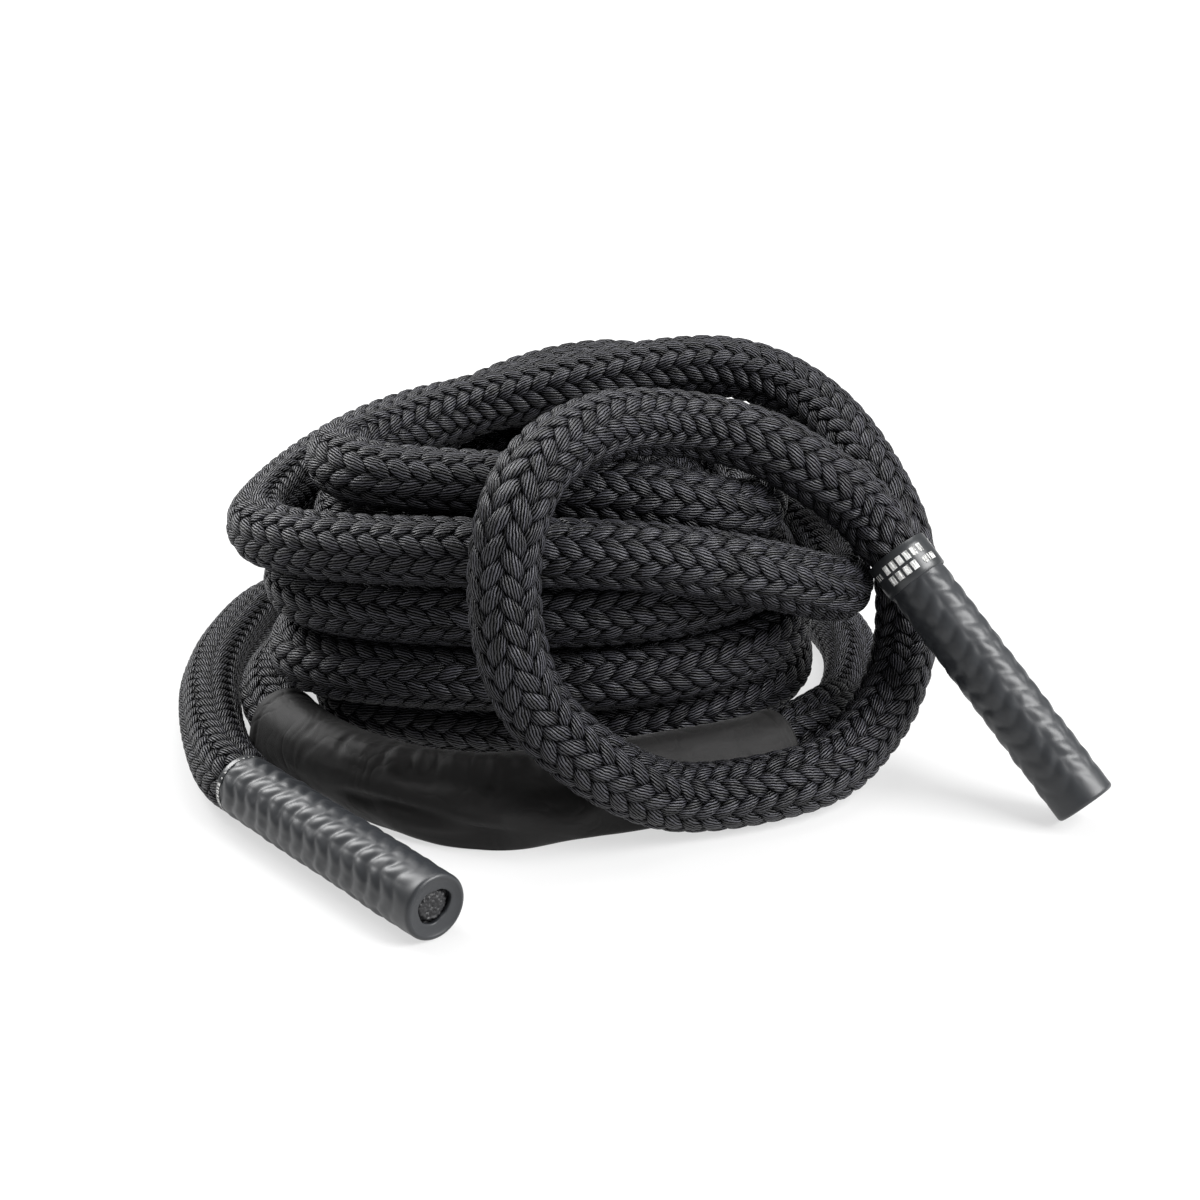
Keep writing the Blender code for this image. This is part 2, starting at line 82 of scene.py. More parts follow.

# %% [markdown]
# The rope is one line, 9 m long, that starts in the left grip, runs round the pile on the floor,
# climbs through seven turns of the coil and ends in the front loop and the right grip. Such a
# line could be simulated as it falls, but a person laid this one down. So it is drawn in a few
# points, in rope diameters, and then only settled: strands that touch push each other apart, and
# tight bends ease. The CAD model does the same, so both ropes lie in one place.

# %% The route in rope diameters
ROPE_DIAMETER = 38 * MM
ROPE_RADIUS = ROPE_DIAMETER / 2
FLOOR_CUT_SHARE = 0.1
FLOOR_HEIGHT = ROPE_RADIUS - FLOOR_CUT_SHARE * ROPE_DIAMETER
FLOOR_ROUTE_SHARES = [
    (-5.38, -3.29, 0.06), (-6.07, -2.12, 0.00), (-6.52, -0.45, 0.00), (-6.82, 1.18, 0.00),
    (-6.84, 3.20, 0.00), (-6.40, 5.30, 0.00), (-4.60, 7.00, 0.00), (-1.53, 7.60, 0.00),
    (1.75, 6.95, 0.00), (3.75, 5.00, 0.00), (4.20, 2.90, 0.00), (3.95, 1.00, 0.00),
    (3.34, -0.53, 0.00), (2.29, -1.68, 0.00), (1.26, -2.21, 0.00), (0.53, -2.58, 0.00),
    (-0.21, -2.97, 0.00), (-0.87, -3.29, 0.00), (-1.92, -3.58, 0.00), (-3.11, -3.37, 0.00),
    (-4.42, -2.47, 0.00), (-5.32, -1.16, 0.00),
]
# The left, back, right and front of each turn of the coil, from the floor up
TURN_SHARES = [
    ((-5.58, 0.34, 0.00), (-0.87, 5.08, 0.00), (2.37, 0.47, 0.00), (-0.87, -1.16, 0.00)),
    ((-3.58, 0.08, 0.00), (-0.87, 4.58, 1.17), (2.70, 0.61, 0.80), (-0.87, -2.05, 0.46)),
    ((-4.53, -0.32, 0.38), (-0.87, 5.29, 1.93), (2.53, 0.08, 1.62), (-0.87, -2.47, 1.46)),
    ((-5.05, -0.58, 1.33), (-0.87, 4.58, 2.64), (2.53, -0.21, 2.46), (-0.87, -2.68, 2.49)),
    ((-4.89, -0.53, 2.30), (-0.87, 5.29, 3.36), (3.74, -0.71, 2.43), (-0.87, -2.95, 3.51)),
    ((-5.45, -0.66, 3.25), (-0.87, 4.58, 4.07), (1.37, -0.18, 3.43), (-0.87, -1.37, 3.49)),
    ((-4.24, -0.32, 3.33), (-0.08, 3.74, 4.72), (2.24, -0.71, 3.20), (-0.87, -2.03, 4.30)),
]
LOOP_ROUTE_SHARES = [
    (-2.50, -1.89, 4.30), (-3.71, -1.50, 4.30), (-4.18, -0.79, 4.28), (-4.07, 0.08, 4.22),
    (-3.26, 1.13, 4.28), (-2.67, 1.66, 4.36), (-1.88, 2.00, 4.46), (-0.89, 2.18, 4.59),
    (0.13, 2.39, 4.64), (1.15, 2.53, 4.67), (2.05, 2.47, 4.67), (2.79, 2.16, 4.51),
    (3.42, 1.53, 4.17), (3.84, 0.53, 3.70), (4.21, -0.24, 2.93), (4.33, -0.53, 2.04),
    (4.31, -0.66, 1.25), (4.08, -1.12, 0.72), (3.56, -1.75, 0.24), (2.97, -2.45, 0.00),
    (2.09, -3.10, 0.00), (1.25, -3.43, 0.00), (0.52, -3.74, 0.17), (-0.21, -4.18, 0.72),
    (-1.05, -4.37, 1.51), (-1.47, -4.50, 2.51), (-1.57, -4.32, 3.41), (-1.46, -4.05, 4.22),
    (-1.12, -3.34, 4.75), (-0.43, -2.42, 4.93), (0.38, -1.63, 4.88), (1.28, -1.25, 4.77),
    (2.20, -1.20, 4.56), (3.06, -1.08, 4.12), (3.76, -0.99, 3.68), (4.26, -1.38, 3.08),
]
chosen = len(FLOOR_ROUTE_SHARES) + 4 * len(TURN_SHARES) + len(LOOP_ROUTE_SHARES)
print("points chosen by hand:", chosen)

# %% A smooth curve through chosen points
CURVE_STEPS = 8
QUARTER_POINTS = 6
FLOOR_ROUTE_POINTS = 46
LOOP_ROUTE_POINTS = 42


def curve_through(points):
    """Points along a smooth curve that passes each given point, closer where those are close."""
    p = np.array(points, float)
    p = np.vstack([2 * p[0] - p[1], p, 2 * p[-1] - p[-2]])
    found = []
    for a, b, c, d in zip(p, p[1:], p[2:], p[3:]):
        t1 = np.linalg.norm(b - a) ** 0.5
        t2 = t1 + np.linalg.norm(c - b) ** 0.5
        t3 = t2 + np.linalg.norm(d - c) ** 0.5
        for t in t1 + (t2 - t1) * np.arange(CURVE_STEPS) / CURVE_STEPS:
            ab = a + (b - a) * t / t1
            bc = b + (c - b) * (t - t1) / (t2 - t1)
            cd = c + (d - c) * (t - t2) / (t3 - t2)
            abc = ab + (bc - ab) * t / t2
            bcd = bc + (cd - bc) * (t - t1) / (t3 - t1)
            found.append(abc + (bcd - abc) * (t - t1) / (t2 - t1))
    return np.array(found + [p[-2]])


def run_of(line):
    """The distance along the line to each of its points."""
    return np.concatenate([[0], np.cumsum(np.linalg.norm(np.diff(line, axis=0), axis=1))])


def at(line, run, places):
    """The points of the line at distances along it."""
    return np.column_stack([np.interp(places, run, line[:, axis]) for axis in range(3)])


def evenly(line, count):
    run = run_of(line)
    return at(line, run, np.linspace(0, run[-1], count))


def quarter_turn(start, end, leaves_along_y):
    """A quarter of an ellipse in plan that climbs gently from start to end."""
    angles = math.pi / 2 * np.arange(QUARTER_POINTS) / QUARTER_POINTS
    shares = [1 - np.cos(angles), np.sin(angles)]
    if not leaves_along_y:
        shares.reverse()
    shares = np.column_stack([*shares, (1 - np.cos(2 * angles)) / 2])
    return list(np.array(start) + (np.array(end) - start) * shares)


def chosen_line():
    """The whole route as chosen, and the numbers of the points where the coil starts and ends."""
    corners = [corner for turn in TURN_SHARES for corner in turn]
    coil = []
    for number, (start, end) in enumerate(zip(corners, corners[1:])):
        coil += quarter_turn(start, end, leaves_along_y=number % 2 == 0)
    coil.append(corners[-1])
    shares = np.array(FLOOR_ROUTE_SHARES + coil + LOOP_ROUTE_SHARES)
    places = shares * ROPE_DIAMETER + np.array([0, 0, FLOOR_HEIGHT])
    curve = curve_through(places)
    first = len(FLOOR_ROUTE_SHARES)
    last = first + len(coil) - 1
    floor_part = evenly(curve[: first * CURVE_STEPS + 1], FLOOR_ROUTE_POINTS)
    loop_part = evenly(curve[last * CURVE_STEPS:], LOOP_ROUTE_POINTS)
    line = np.vstack([floor_part[:-1], places[first: last + 1], loop_part[1:]])
    return line, len(floor_part) - 1, len(floor_part) - 1 + len(coil) - 1


home, coil_first, coil_last = chosen_line()
print("points before settling:", len(home), "length, m:", round(run_of(home)[-1], 2))

# %% How strands push each other apart
STRAND_GAP = 1.3 * MM
PUSH_SHARE = 0.375
NEIGHBOUR_STEPS = 3
REACH = 90 * MM
NEARLY_PARALLEL = 1e-9


def nearest(line, first, second):
    """How the numbered segments pass: the vector from second to first and the share along each."""
    along_a = line[first + 1] - line[first]
    along_b = line[second + 1] - line[second]
    apart = line[first] - line[second]
    aa = (along_a * along_a).sum(1)
    bb = (along_b * along_b).sum(1)
    ab = (along_a * along_b).sum(1)
    a_apart = (along_a * apart).sum(1)
    b_apart = (along_b * apart).sum(1)
    spread = aa * bb - ab * ab
    crossing = spread > aa * bb * NEARLY_PARALLEL
    share_a = (ab * b_apart - a_apart * bb) / np.where(crossing, spread, 1)
    share_a = np.where(crossing, np.clip(share_a, 0, 1), 0.5)
    share_b = np.clip((ab * share_a + b_apart) / bb, 0, 1)
    share_a = np.clip((ab * share_b - a_apart) / aa, 0, 1)
    gap = apart + along_a * share_a[:, None] - along_b * share_b[:, None]
    return gap, share_a, share_b


def pushes(line, radii, pairs):
    """How far each point is pushed by the strands that lie too near it."""
    first, second = pairs
    middles = (line[:-1] + line[1:]) / 2
    close = ((middles[first] - middles[second]) ** 2).sum(1) < REACH * REACH
    first, second = first[close], second[close]
    gap, share_a, share_b = nearest(line, first, second)
    distance = np.linalg.norm(gap, axis=1)
    short = np.maximum(radii[first] + radii[second] + STRAND_GAP - distance, 0)
    push = gap / distance[:, None] * (PUSH_SHARE * short)[:, None]
    moved = np.zeros_like(line)
    touches = np.zeros(len(line))
    ends = ((first, 1 - share_a, 1), (first + 1, share_a, 1),
            (second, 1 - share_b, -1), (second + 1, share_b, -1))
    for points, share, way in ends:
        np.add.at(moved, points, push * (way * share)[:, None])
        np.add.at(touches, points, share * (short > 0))
    return moved / np.maximum(touches / 2, 1)[:, None]


print("strands push within, mm:", round((ROPE_DIAMETER + STRAND_GAP) / MM, 1))

# %% How bends ease, and the settling itself
TIGHTEST_BEND = 46 * MM
EASE_SHARE = 0.4
SETTLE_ROUNDS = 500
LATE_SHARE = 0.7
SPREAD_SHARE = 0.3
LATE_SPREAD_SHARE = 0.05
HOLD_SHARE = 0.99
SLEEVE_LENGTH = 370 * MM
SLEEVE_SETBACK = 62 * MM
SLEEVE_RADIUS = ROPE_RADIUS + 1.6 * MM
GRIP_RADIUS = 17.6 * MM
BUTT_GAP = 0.3 * MM
LEAST_LENGTH = 1e-12


def easing(line):
    """How far each point moves where the line bends more tightly than the rope can."""
    step = np.linalg.norm(line[2:] - line[:-2], axis=1) / 2
    inward = (line[:-2] + line[2:]) / 2 - line[1:-1]
    depth = np.maximum(np.linalg.norm(inward, axis=1), LEAST_LENGTH)
    excess = np.maximum(depth - step * step / (2 * TIGHTEST_BEND), 0)
    shift = inward / depth[:, None] * (excess * EASE_SHARE)[:, None]
    moved = np.zeros_like(line)
    moved[1:-1] += shift
    moved[:-2] -= shift / 2
    moved[2:] -= shift / 2
    return moved


def settled(home, radii, lowest, joints):
    line = home.copy()
    numbers = np.arange(len(line) - 1)
    pairs = np.nonzero(numbers[None, :] - numbers[:, None] >= NEIGHBOUR_STEPS)
    free = np.ones(len(line))
    free[[0, 1, -2, -1]] = 0
    for turn in range(SETTLE_ROUNDS):
        late = turn >= SETTLE_ROUNDS * LATE_SHARE
        line = line + pushes(line, radii, pairs) * free[:, None]
        line = line + easing(line) * free[:, None]
        drift = line - home
        bend = np.zeros_like(drift)
        bend[1:-1] = (drift[:-2] + drift[2:]) / 2 - drift[1:-1]
        drift += bend * (LATE_SPREAD_SHARE if late else SPREAD_SHARE)
        drift *= free[:, None] * (1 if late else HOLD_SHARE)
        line = home + drift
        for joint in joints:
            line[joint] = (line[joint - 1] + line[joint + 1]) / 2
        line[:, 2] = np.maximum(line[:, 2], lowest)
    return line


run = run_of(home)
sleeve_end = run[coil_first] - SLEEVE_SETBACK
middles = (run[:-1] + run[1:]) / 2
step = run[coil_first] / coil_first
sleeved = (middles > sleeve_end - SLEEVE_LENGTH - step) & (middles < sleeve_end + step)
radii = np.where(sleeved, SLEEVE_RADIUS, ROPE_RADIUS)
lowest = np.full(len(home), FLOOR_HEIGHT)
lowest[:-1][sleeved] = SLEEVE_RADIUS
lowest[1:][sleeved] = SLEEVE_RADIUS
home[:, 2] = np.maximum(home[:, 2], lowest)
home[0, 2] = GRIP_RADIUS + BUTT_GAP
line = settled(home, radii, lowest, (coil_first, coil_last))
print("rope between the grips, m:", round(run_of(line)[-1], 3))

# %% [markdown]
# Both grips hold the rope's ends, so the line runs on straight through them. A running average
# takes out the small corners. The braid's pattern needs directions across the rope as well. They
# could be worked out at each point from its bend, but would swing round wherever the bend
# changes. So one frame is carried along the line without any twist, and the braid stays straight
# along the rope as it does in the photograph.

# %% Helpers for the fine line
GRIP_LENGTH = 176 * MM
FINE_STEP = 2 * MM
SMOOTH_OVER = 7 * MM


def grip_way(turn, mouth_height):
    """A grip leans down from its mouth until the rim of its end touches the floor."""
    rim = math.hypot(GRIP_LENGTH, GRIP_RADIUS)
    lean = math.asin(mouth_height / rim) - math.atan2(GRIP_RADIUS, GRIP_LENGTH)
    flat = math.cos(lean)
    return np.array((flat * math.cos(turn), flat * math.sin(turn), -math.sin(lean)))


def smoothed(points, over):
    """A running average along evenly spaced points, with the ends run on straight."""
    reach = int(3 * over / FINE_STEP)
    shares = np.exp(-0.5 * (np.arange(-reach, reach + 1) * FINE_STEP / over) ** 2)
    shares /= shares.sum()
    before = 2 * points[0] - points[reach:0:-1]
    after = 2 * points[-1] - points[-2: -reach - 2: -1]
    longer = np.vstack([before, points, after])
    return np.column_stack([np.convolve(longer[:, axis], shares, "valid") for axis in range(3)])


def carried_frames(points):
    """The line's direction and two ways across it, carried along without any twist."""
    ways = np.gradient(points, axis=0)
    ways /= np.linalg.norm(ways, axis=1)[:, None]
    side = np.cross(ways[0], (0, 0, 1))
    sides = []
    for way in ways:
        side = side - way * (side @ way)
        side = side / np.linalg.norm(side)
        sides.append(side)
    sides = np.array(sides)
    return ways, sides, np.cross(ways, sides)


print("points in the running average:", 2 * int(3 * SMOOTH_OVER / FINE_STEP) + 1)

# %% [markdown]
# The settled line goes where the CAD pile is, which is centred on its base. It rises a little,
# because the real braid squashes on the floor less than the flat cut of the solids says. At the
# left, two stretches lean towards each other by a few millimetres, as in the photograph.

# %% The fine line and its frames
PILE_SHIFT = Vector((-1.83 * MM, 20.37 * MM, 0))
RISE = 2.3 * MM
LEFT_GRIP_TURN = math.radians(-48.4)
RIGHT_GRIP_TURN = math.radians(-38.0)
COIL_LEAN, COIL_LEAN_OVER = -8 * MM, 70 * MM
ARC_LEAN, ARC_LEAN_AT, ARC_LEAN_OVER = 3 * MM, 62 * MM, 38 * MM

line_run = run_of(line)
for lean, place, over in (
        (COIL_LEAN, line_run[coil_first], COIL_LEAN_OVER), (ARC_LEAN, ARC_LEAN_AT, ARC_LEAN_OVER)):
    line[:, 0] += lean * np.exp(-(((run_of(line) - place) / over) ** 2))
line[:, 2] += RISE
line -= np.array(PILE_SHIFT)
left_mouth, right_mouth = line[0], line[-1]
left_way = grip_way(LEFT_GRIP_TURN, left_mouth[2])
right_way = grip_way(RIGHT_GRIP_TURN, right_mouth[2])
left_end = left_mouth + left_way * GRIP_LENGTH
right_end = right_mouth + right_way * GRIP_LENGTH
whole = np.vstack([[left_end], curve_through(line), [right_end]])
rope_length = run_of(whole)[-1]
rope_line = smoothed(evenly(whole, round(rope_length / FINE_STEP) + 1), SMOOTH_OVER)
rope_run = np.linspace(0, rope_length, len(rope_line))
rope_ways, rope_sides, rope_tops = carried_frames(rope_line)
settled_run = run_of(line)
sleeve_end = settled_run[coil_first] - SLEEVE_SETBACK
sleeve_first, sleeve_last = (
    rope_run[np.linalg.norm(rope_line - place, axis=1).argmin()]
    for place in at(line, settled_run, np.array([sleeve_end - SLEEVE_LENGTH, sleeve_end])))
print("rope length, m:", round(rope_length, 3), "points:", len(rope_line))

# %% [markdown]
# Materials come next, with one small function that adds a node, its settings and its links.
# Colours are written as they would be picked on a screen, in hexadecimal, and one function turns
# them to the linear values that the renderer works in.

# %% Helpers for materials
# Polyester, nylon, polyolefin and vinyl all bend light about as much as this
PLASTIC_IOR = 1.5


def colour(hexadecimal):
    """A screen colour such as 1c1c1e as linear red, green, blue and alpha."""
    found = []
    for start in (0, 2, 4):
        value = int(hexadecimal[start: start + 2], 16) / 255
        found.append(value / 12.92 if value <= 0.04045 else ((value + 0.055) / 1.055) ** 2.4)
    return (*found, 1)


def fill(node, values):
    """Sets the values on a node's sockets."""
    for name, value in dict(values).items():
        node.inputs[name].default_value = value


def feed(tree, node, links):
    """Joins inputs to the sockets that feed them. A node's name alone means its first socket."""
    for name, source in dict(links).items():
        socket = source.outputs[0] if isinstance(source, bpy.types.Node) else source
        tree.links.new(socket, node.inputs[name])


def add_node(tree, kind, links=(), inputs=(), **settings):
    """One node: its settings, the values on its sockets and what feeds it."""
    node = tree.nodes.new(kind)
    for name, value in settings.items():
        setattr(node, name, value)
    fill(node, inputs)
    feed(tree, node, links)
    return node


def new_material(name, base, roughness, others=()):
    """A material, its node tree and its shader, whose other sockets may get values too."""
    paint = bpy.data.materials.new(name)
    paint.use_nodes = True
    shader = paint.node_tree.nodes["Principled BSDF"]
    fill(shader, {"Base Color": colour(base), "Roughness": roughness, "IOR": PLASTIC_IOR})
    fill(shader, others)
    return paint, paint.node_tree, shader


# %% Helpers for pieces
def new_piece(name, mesh, paint):
    """A finished piece: smooth, painted, riding on the pile."""
    piece = new_object(name, mesh)
    mesh.materials.append(paint)
    mesh.shade_smooth()
    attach(piece, "root")
    return piece


def mesh_of(work, name):
    """The mesh that a bmesh becomes once it is done."""
    mesh = bpy.data.meshes.new(name)
    work.to_mesh(mesh)
    work.free()
    return mesh


def noise_at(spots, octaves=2):
    """Soft noise about zero at each spot. Each octave is half as high and twice as fine."""
    return np.array([noise.fractal(Vector(spot), 1.0, 2.0, octaves) for spot in spots])


def coordinates(mesh):
    found = np.empty(len(mesh.vertices) * 3, np.float32)
    mesh.vertices.foreach_get("co", found)
    return found.reshape(-1, 3).astype(float)


def move_to(mesh, places):
    mesh.vertices.foreach_set("co", np.asarray(places, np.float32).ravel())
    mesh.update()


def face_outwards(mesh):
    """Turns the faces of a closed mesh that came out inside out, with a volume below zero."""
    work = bmesh.new()
    work.from_mesh(mesh)
    if work.calc_volume(signed=True) < 0:
        mesh.flip_normals()
    work.free()


def give(mesh, name, values):
    """Writes one number at each point, for a material to read."""
    layer = mesh.attributes.new(name, "FLOAT", "POINT")
    layer.data.foreach_set("value", np.asarray(values, np.float32))


print("noise at one spot:", round(noise_at([(0.3, 0.4, 0.5)])[0], 3))

# %% [markdown]
# Polyester rope yarn is melt spun, drawn and dyed black. It is satin: the fibres are smooth, so
# each yarn carries a soft streak of light along it, and the grooves between yarns stay dark. The
# yarns could be modelled one by one, but each is only about a millimetre and a half thick. So
# their round backs are in the material, drawn across the strand's own map. Shade is painted into
# its colour and gloss, in the grooves between yarns and deep down between strands. Each yarn gets
# a tone of its own, partly because no two are dyed and laid quite alike, and partly as painted
# highlight streaks.

# %% Black polyester yarn
YARN_PITCH = 1.6 * MM
YARN_DEPTH = 0.6 * MM
# A yarn wanders sideways, by a share of the pitch, over this distance
WANDER_SIZE = 3.5 * MM
WANDER_YARNS = 1.0
# Each stretch of yarn has a tone of its own between these, partly real and partly painted highlight
STREAK_LENGTH = 22 * MM
YARN_TONES_AND_HIGHLIGHTS = {"To Min": 0.15, "To Max": 1.85}
# Painted shade: colour and gloss fade in the grooves between yarns, and deep down between strands
PAINTED_GROOVE_SHADE = {"From Min": 0.4, "From Max": 0.95, "To Min": 0.02, "To Max": 1.15}
PAINTED_DEPTH_SHADE = {"From Min": 0.42, "From Max": 0.92, "To Min": 0.02, "To Max": 1.0}
YARN_COLOUR = colour("28282d")[:3]
YARN_GLOSS = 0.46


def polyester_yarn():
    """Satin streaks, partly painted, with painted shade in grooves and between strands. The
    strand's map counts yarns across, and then metres along them."""
    paint, tree, shader = new_material("black_polyester_yarn", "1b1b1d", 0.47)
    place = add_node(tree, "ShaderNodeTexCoord")
    wander = add_node(
        tree, "ShaderNodeTexNoise", {"Vector": place.outputs["Object"]},
        {"Scale": 1 / WANDER_SIZE, "Detail": 2.0})
    apart = add_node(tree, "ShaderNodeSeparateXYZ", {"Vector": place.outputs["UV"]})
    bent = add_node(
        tree, "ShaderNodeMath", {0: wander, 2: apart.outputs["X"]},
        {1: WANDER_YARNS}, operation="MULTIPLY_ADD")
    number = add_node(tree, "ShaderNodeMath", {0: bent}, operation="FLOOR")
    back = bent
    for operation, factor in (("MULTIPLY", math.pi), ("SINE", 0), ("ABSOLUTE", 0)):
        back = add_node(tree, "ShaderNodeMath", {0: back}, {1: factor}, operation=operation)
    streak = add_node(
        tree, "ShaderNodeMath", {0: apart.outputs["Y"]}, {1: 1 / STREAK_LENGTH},
        operation="MULTIPLY")
    streak_number = add_node(tree, "ShaderNodeMath", {0: streak}, operation="FLOOR")
    which = add_node(tree, "ShaderNodeCombineXYZ", {"X": number, "Y": streak_number})
    chance = add_node(tree, "ShaderNodeTexWhiteNoise", {"Vector": which})
    # Each yarn's tone: partly real, partly painted highlight streaks
    shade = add_node(tree, "ShaderNodeMapRange", {"Value": chance}, YARN_TONES_AND_HIGHLIGHTS)
    # Painted shade: colour and gloss darken in the grooves between yarns and deep down between
    # strands
    groove_shade = add_node(tree, "ShaderNodeMapRange", {"Value": back}, PAINTED_GROOVE_SHADE)
    height = add_node(tree, "ShaderNodeAttribute", attribute_name="height")
    depth = add_node(tree, "ShaderNodeMapRange", {"Value": height.outputs["Fac"]}, PAINTED_DEPTH_SHADE)
    painted_shade = add_node(tree, "ShaderNodeMath", {0: groove_shade, 1: depth}, operation="MULTIPLY")
    painted_light = add_node(tree, "ShaderNodeMath", {0: painted_shade, 1: shade}, operation="MULTIPLY")
    tint = add_node(
        tree, "ShaderNodeVectorMath", {"Scale": painted_light}, {0: YARN_COLOUR}, operation="SCALE")
    gloss = add_node(
        tree, "ShaderNodeMath", {0: painted_shade}, {1: YARN_GLOSS}, operation="MULTIPLY")
    bump = add_node(
        tree, "ShaderNodeBump", {"Height": back}, {"Strength": 1.0, "Distance": YARN_DEPTH})
    feed(tree, shader, {"Base Color": tint, "Specular IOR Level": gloss, "Normal": bump})
    return paint


yarn = polyester_yarn()
print("yarn pitch, mm:", YARN_PITCH / MM)

# %% [markdown]
# The braid: ten strands wind one way round the rope and ten the other way. Each goes over two
# and under two, so the floats line up in ten columns along the rope, five leaning each way. A
# tube with a pattern on it would show no real edges where strands dive under each other. So
# every strand is modelled, as one flattened tube that runs the whole rope. Operators make one
# long tube as a pattern: a grid, rolled up, welded along its seam and capped. Each strand is a
# copy of that tube whose points are laid along its own winding path.

# %% The pattern tube for a strand
STRANDS_EACH_WAY = 10
FLOAT_PITCH = 11.5 * MM
LEAD = STRANDS_EACH_WAY * FLOAT_PITCH
SAMPLES_A_PERIOD = 12
STRAND_CORNERS = 8
BRAID_INSIDE_GRIP = 24 * MM
WELD_SHARE = 0.1

braid_start = GRIP_LENGTH - BRAID_INSIDE_GRIP
braid_end = rope_length - GRIP_LENGTH + BRAID_INSIDE_GRIP
strand_steps = round((braid_end - braid_start) / (2 * FLOAT_PITCH) * SAMPLES_A_PERIOD)


def rolled_tube(steps, corners, capped=True):
    """A tube of unit length and radius along X, with a map that runs along and round."""
    work = bmesh.new()
    work.loops.layers.uv.new("UVMap")
    bmesh.ops.create_grid(work, x_segments=steps, y_segments=corners, size=0.5, calc_uvs=True)
    for vert in work.verts:
        angle = 2 * math.pi * (vert.co.y + 0.5)
        vert.co = (vert.co.x + 0.5, math.cos(angle), math.sin(angle))
    bmesh.ops.remove_doubles(work, verts=work.verts, dist=WELD_SHARE / steps)
    if capped:
        rims = [edge for edge in work.edges if edge.is_boundary]
        bmesh.ops.holes_fill(work, edges=rims, sides=corners)
    bmesh.ops.recalc_face_normals(work, faces=work.faces)
    return mesh_of(work, "rolled_tube")


strand_pattern = rolled_tube(strand_steps, STRAND_CORNERS)
print("points of one strand:", len(strand_pattern.vertices))

# %% Where a point of a strand goes
STRAND_WIDTH = 9.3 * MM
STRAND_HEIGHT = 4.9 * MM
MIDDLE_RADIUS = 15.1 * MM
DEEPEST = 14.6 * MM
DIVE = 1.9 * MM
DIVE_SHARPNESS = 1.5
NARROWEST_SHARE = 0.8
# A strand's section has more corners on its round back than underneath, where it lies flatter
CORNER_POWER = 0.8
CORNER_ANGLES = np.radians([0, 36, 72, 108, 144, 180, 235, 305])
UNDERSIDE_SHARE = 0.7
YARN_LEAN = math.radians(12)
COLUMNS = STRANDS_EACH_WAY // 2
GRIPPED_SHARE, SLEEVED_SHARE = 0.84, 0.95
SQUEEZE_OVER = 14 * MM
FLOOR_SOFTNESS = 0.5 * MM

braid_angle = math.atan2(2 * math.pi * ROPE_RADIUS, LEAD)
# Across and up from the strand's middle to each corner of its section
corner_across, corner_up = (
    np.sign(part) * np.abs(part) ** CORNER_POWER
    for part in (np.cos(CORNER_ANGLES), np.sin(CORNER_ANGLES)))
corner_across *= STRAND_WIDTH / 2
corner_up *= np.where(corner_up < 0, UNDERSIDE_SHARE, 1) * STRAND_HEIGHT / 2


def eased(values):
    """Values held between 0 and 1 that start and stop gently."""
    share = np.clip(values, 0, 1)
    return share * share * (3 - 2 * share)


def squeeze(places):
    """How much thinner the rope is where the shrunk grips and the sleeve hold it."""
    inside = np.maximum(GRIP_LENGTH - places, places - (rope_length - GRIP_LENGTH))
    gripped = 1 - (1 - GRIPPED_SHARE) * eased(inside / SQUEEZE_OVER + 1)
    sleeved = np.minimum(places - sleeve_first, sleeve_last - places)
    return gripped * (1 - (1 - SLEEVED_SHARE) * eased(sleeved / SQUEEZE_OVER))


def softly_above(values, least, softness):
    """Values that flatten out towards the least one instead of passing it."""
    return least + softness * np.logaddexp(0, (values - least) / softness)


def on_rope(places, turns, radii):
    """Points at distances along the rope, turned round it, at radii from its middle."""
    radii = radii * squeeze(places)
    middle = at(rope_line, rope_run, places)
    side = at(rope_sides, rope_run, places)
    top = at(rope_tops, rope_run, places)
    found = middle + side * (np.cos(turns) * radii)[:, None]
    found += top * (np.sin(turns) * radii)[:, None]
    found[:, 2] = softly_above(found[:, 2], 0, FLOOR_SOFTNESS)
    return found


def strand_shape(steps, corners, number, hand):
    """Each point's place along the rope, turn round it and radius, from its step and its corner."""
    along = braid_start + (braid_end - braid_start) * steps / strand_steps
    turns = 2 * math.pi * (number / STRANDS_EACH_WAY + hand * along / LEAD)
    wave = np.cos(COLUMNS * turns - math.pi / 4)
    over = hand * np.tanh(DIVE_SHARPNESS * wave) / math.tanh(DIVE_SHARPNESS)
    side = corner_across[corners] * (NARROWEST_SHARE + (1 - NARROWEST_SHARE) * (over + 1) / 2)
    radii = MIDDLE_RADIUS + DIVE * over + corner_up[corners]
    places = along - side * hand * math.sin(braid_angle)
    return places, turns + side * math.cos(braid_angle) / ROPE_RADIUS, radii


print("braid angle, degrees:", round(math.degrees(braid_angle), 1))

# %% Twenty strands
pattern_points = coordinates(strand_pattern)
point_steps = np.round(pattern_points[:, 0] * strand_steps).astype(int)
point_angles = np.arctan2(pattern_points[:, 2], pattern_points[:, 1]) / (2 * math.pi)
point_corners = np.round(point_angles * STRAND_CORNERS).astype(int) % STRAND_CORNERS


def yarn_map(mesh, hand):
    """Sets the strand's map: yarns counted across, and metres along the yarns."""
    layer = mesh.uv_layers[0].data
    found = np.empty(len(layer) * 2, np.float32)
    layer.foreach_get("uv", found)
    found = found.reshape(-1, 2).astype(float)
    section = np.column_stack([corner_across, corner_up])
    round_it = run_of(np.vstack([section, section[:1]]))
    along = found[:, 0] * (braid_end - braid_start) / math.cos(braid_angle)
    sideways = -np.interp(found[:, 1] * STRAND_CORNERS, np.arange(STRAND_CORNERS + 1), round_it)
    lean = braid_angle - YARN_LEAN
    count = (math.cos(lean) * sideways + hand * math.sin(lean) * along) / YARN_PITCH
    length = math.cos(lean) * along - hand * math.sin(lean) * sideways
    layer.foreach_set("uv", np.column_stack([count, length]).astype(np.float32).ravel())


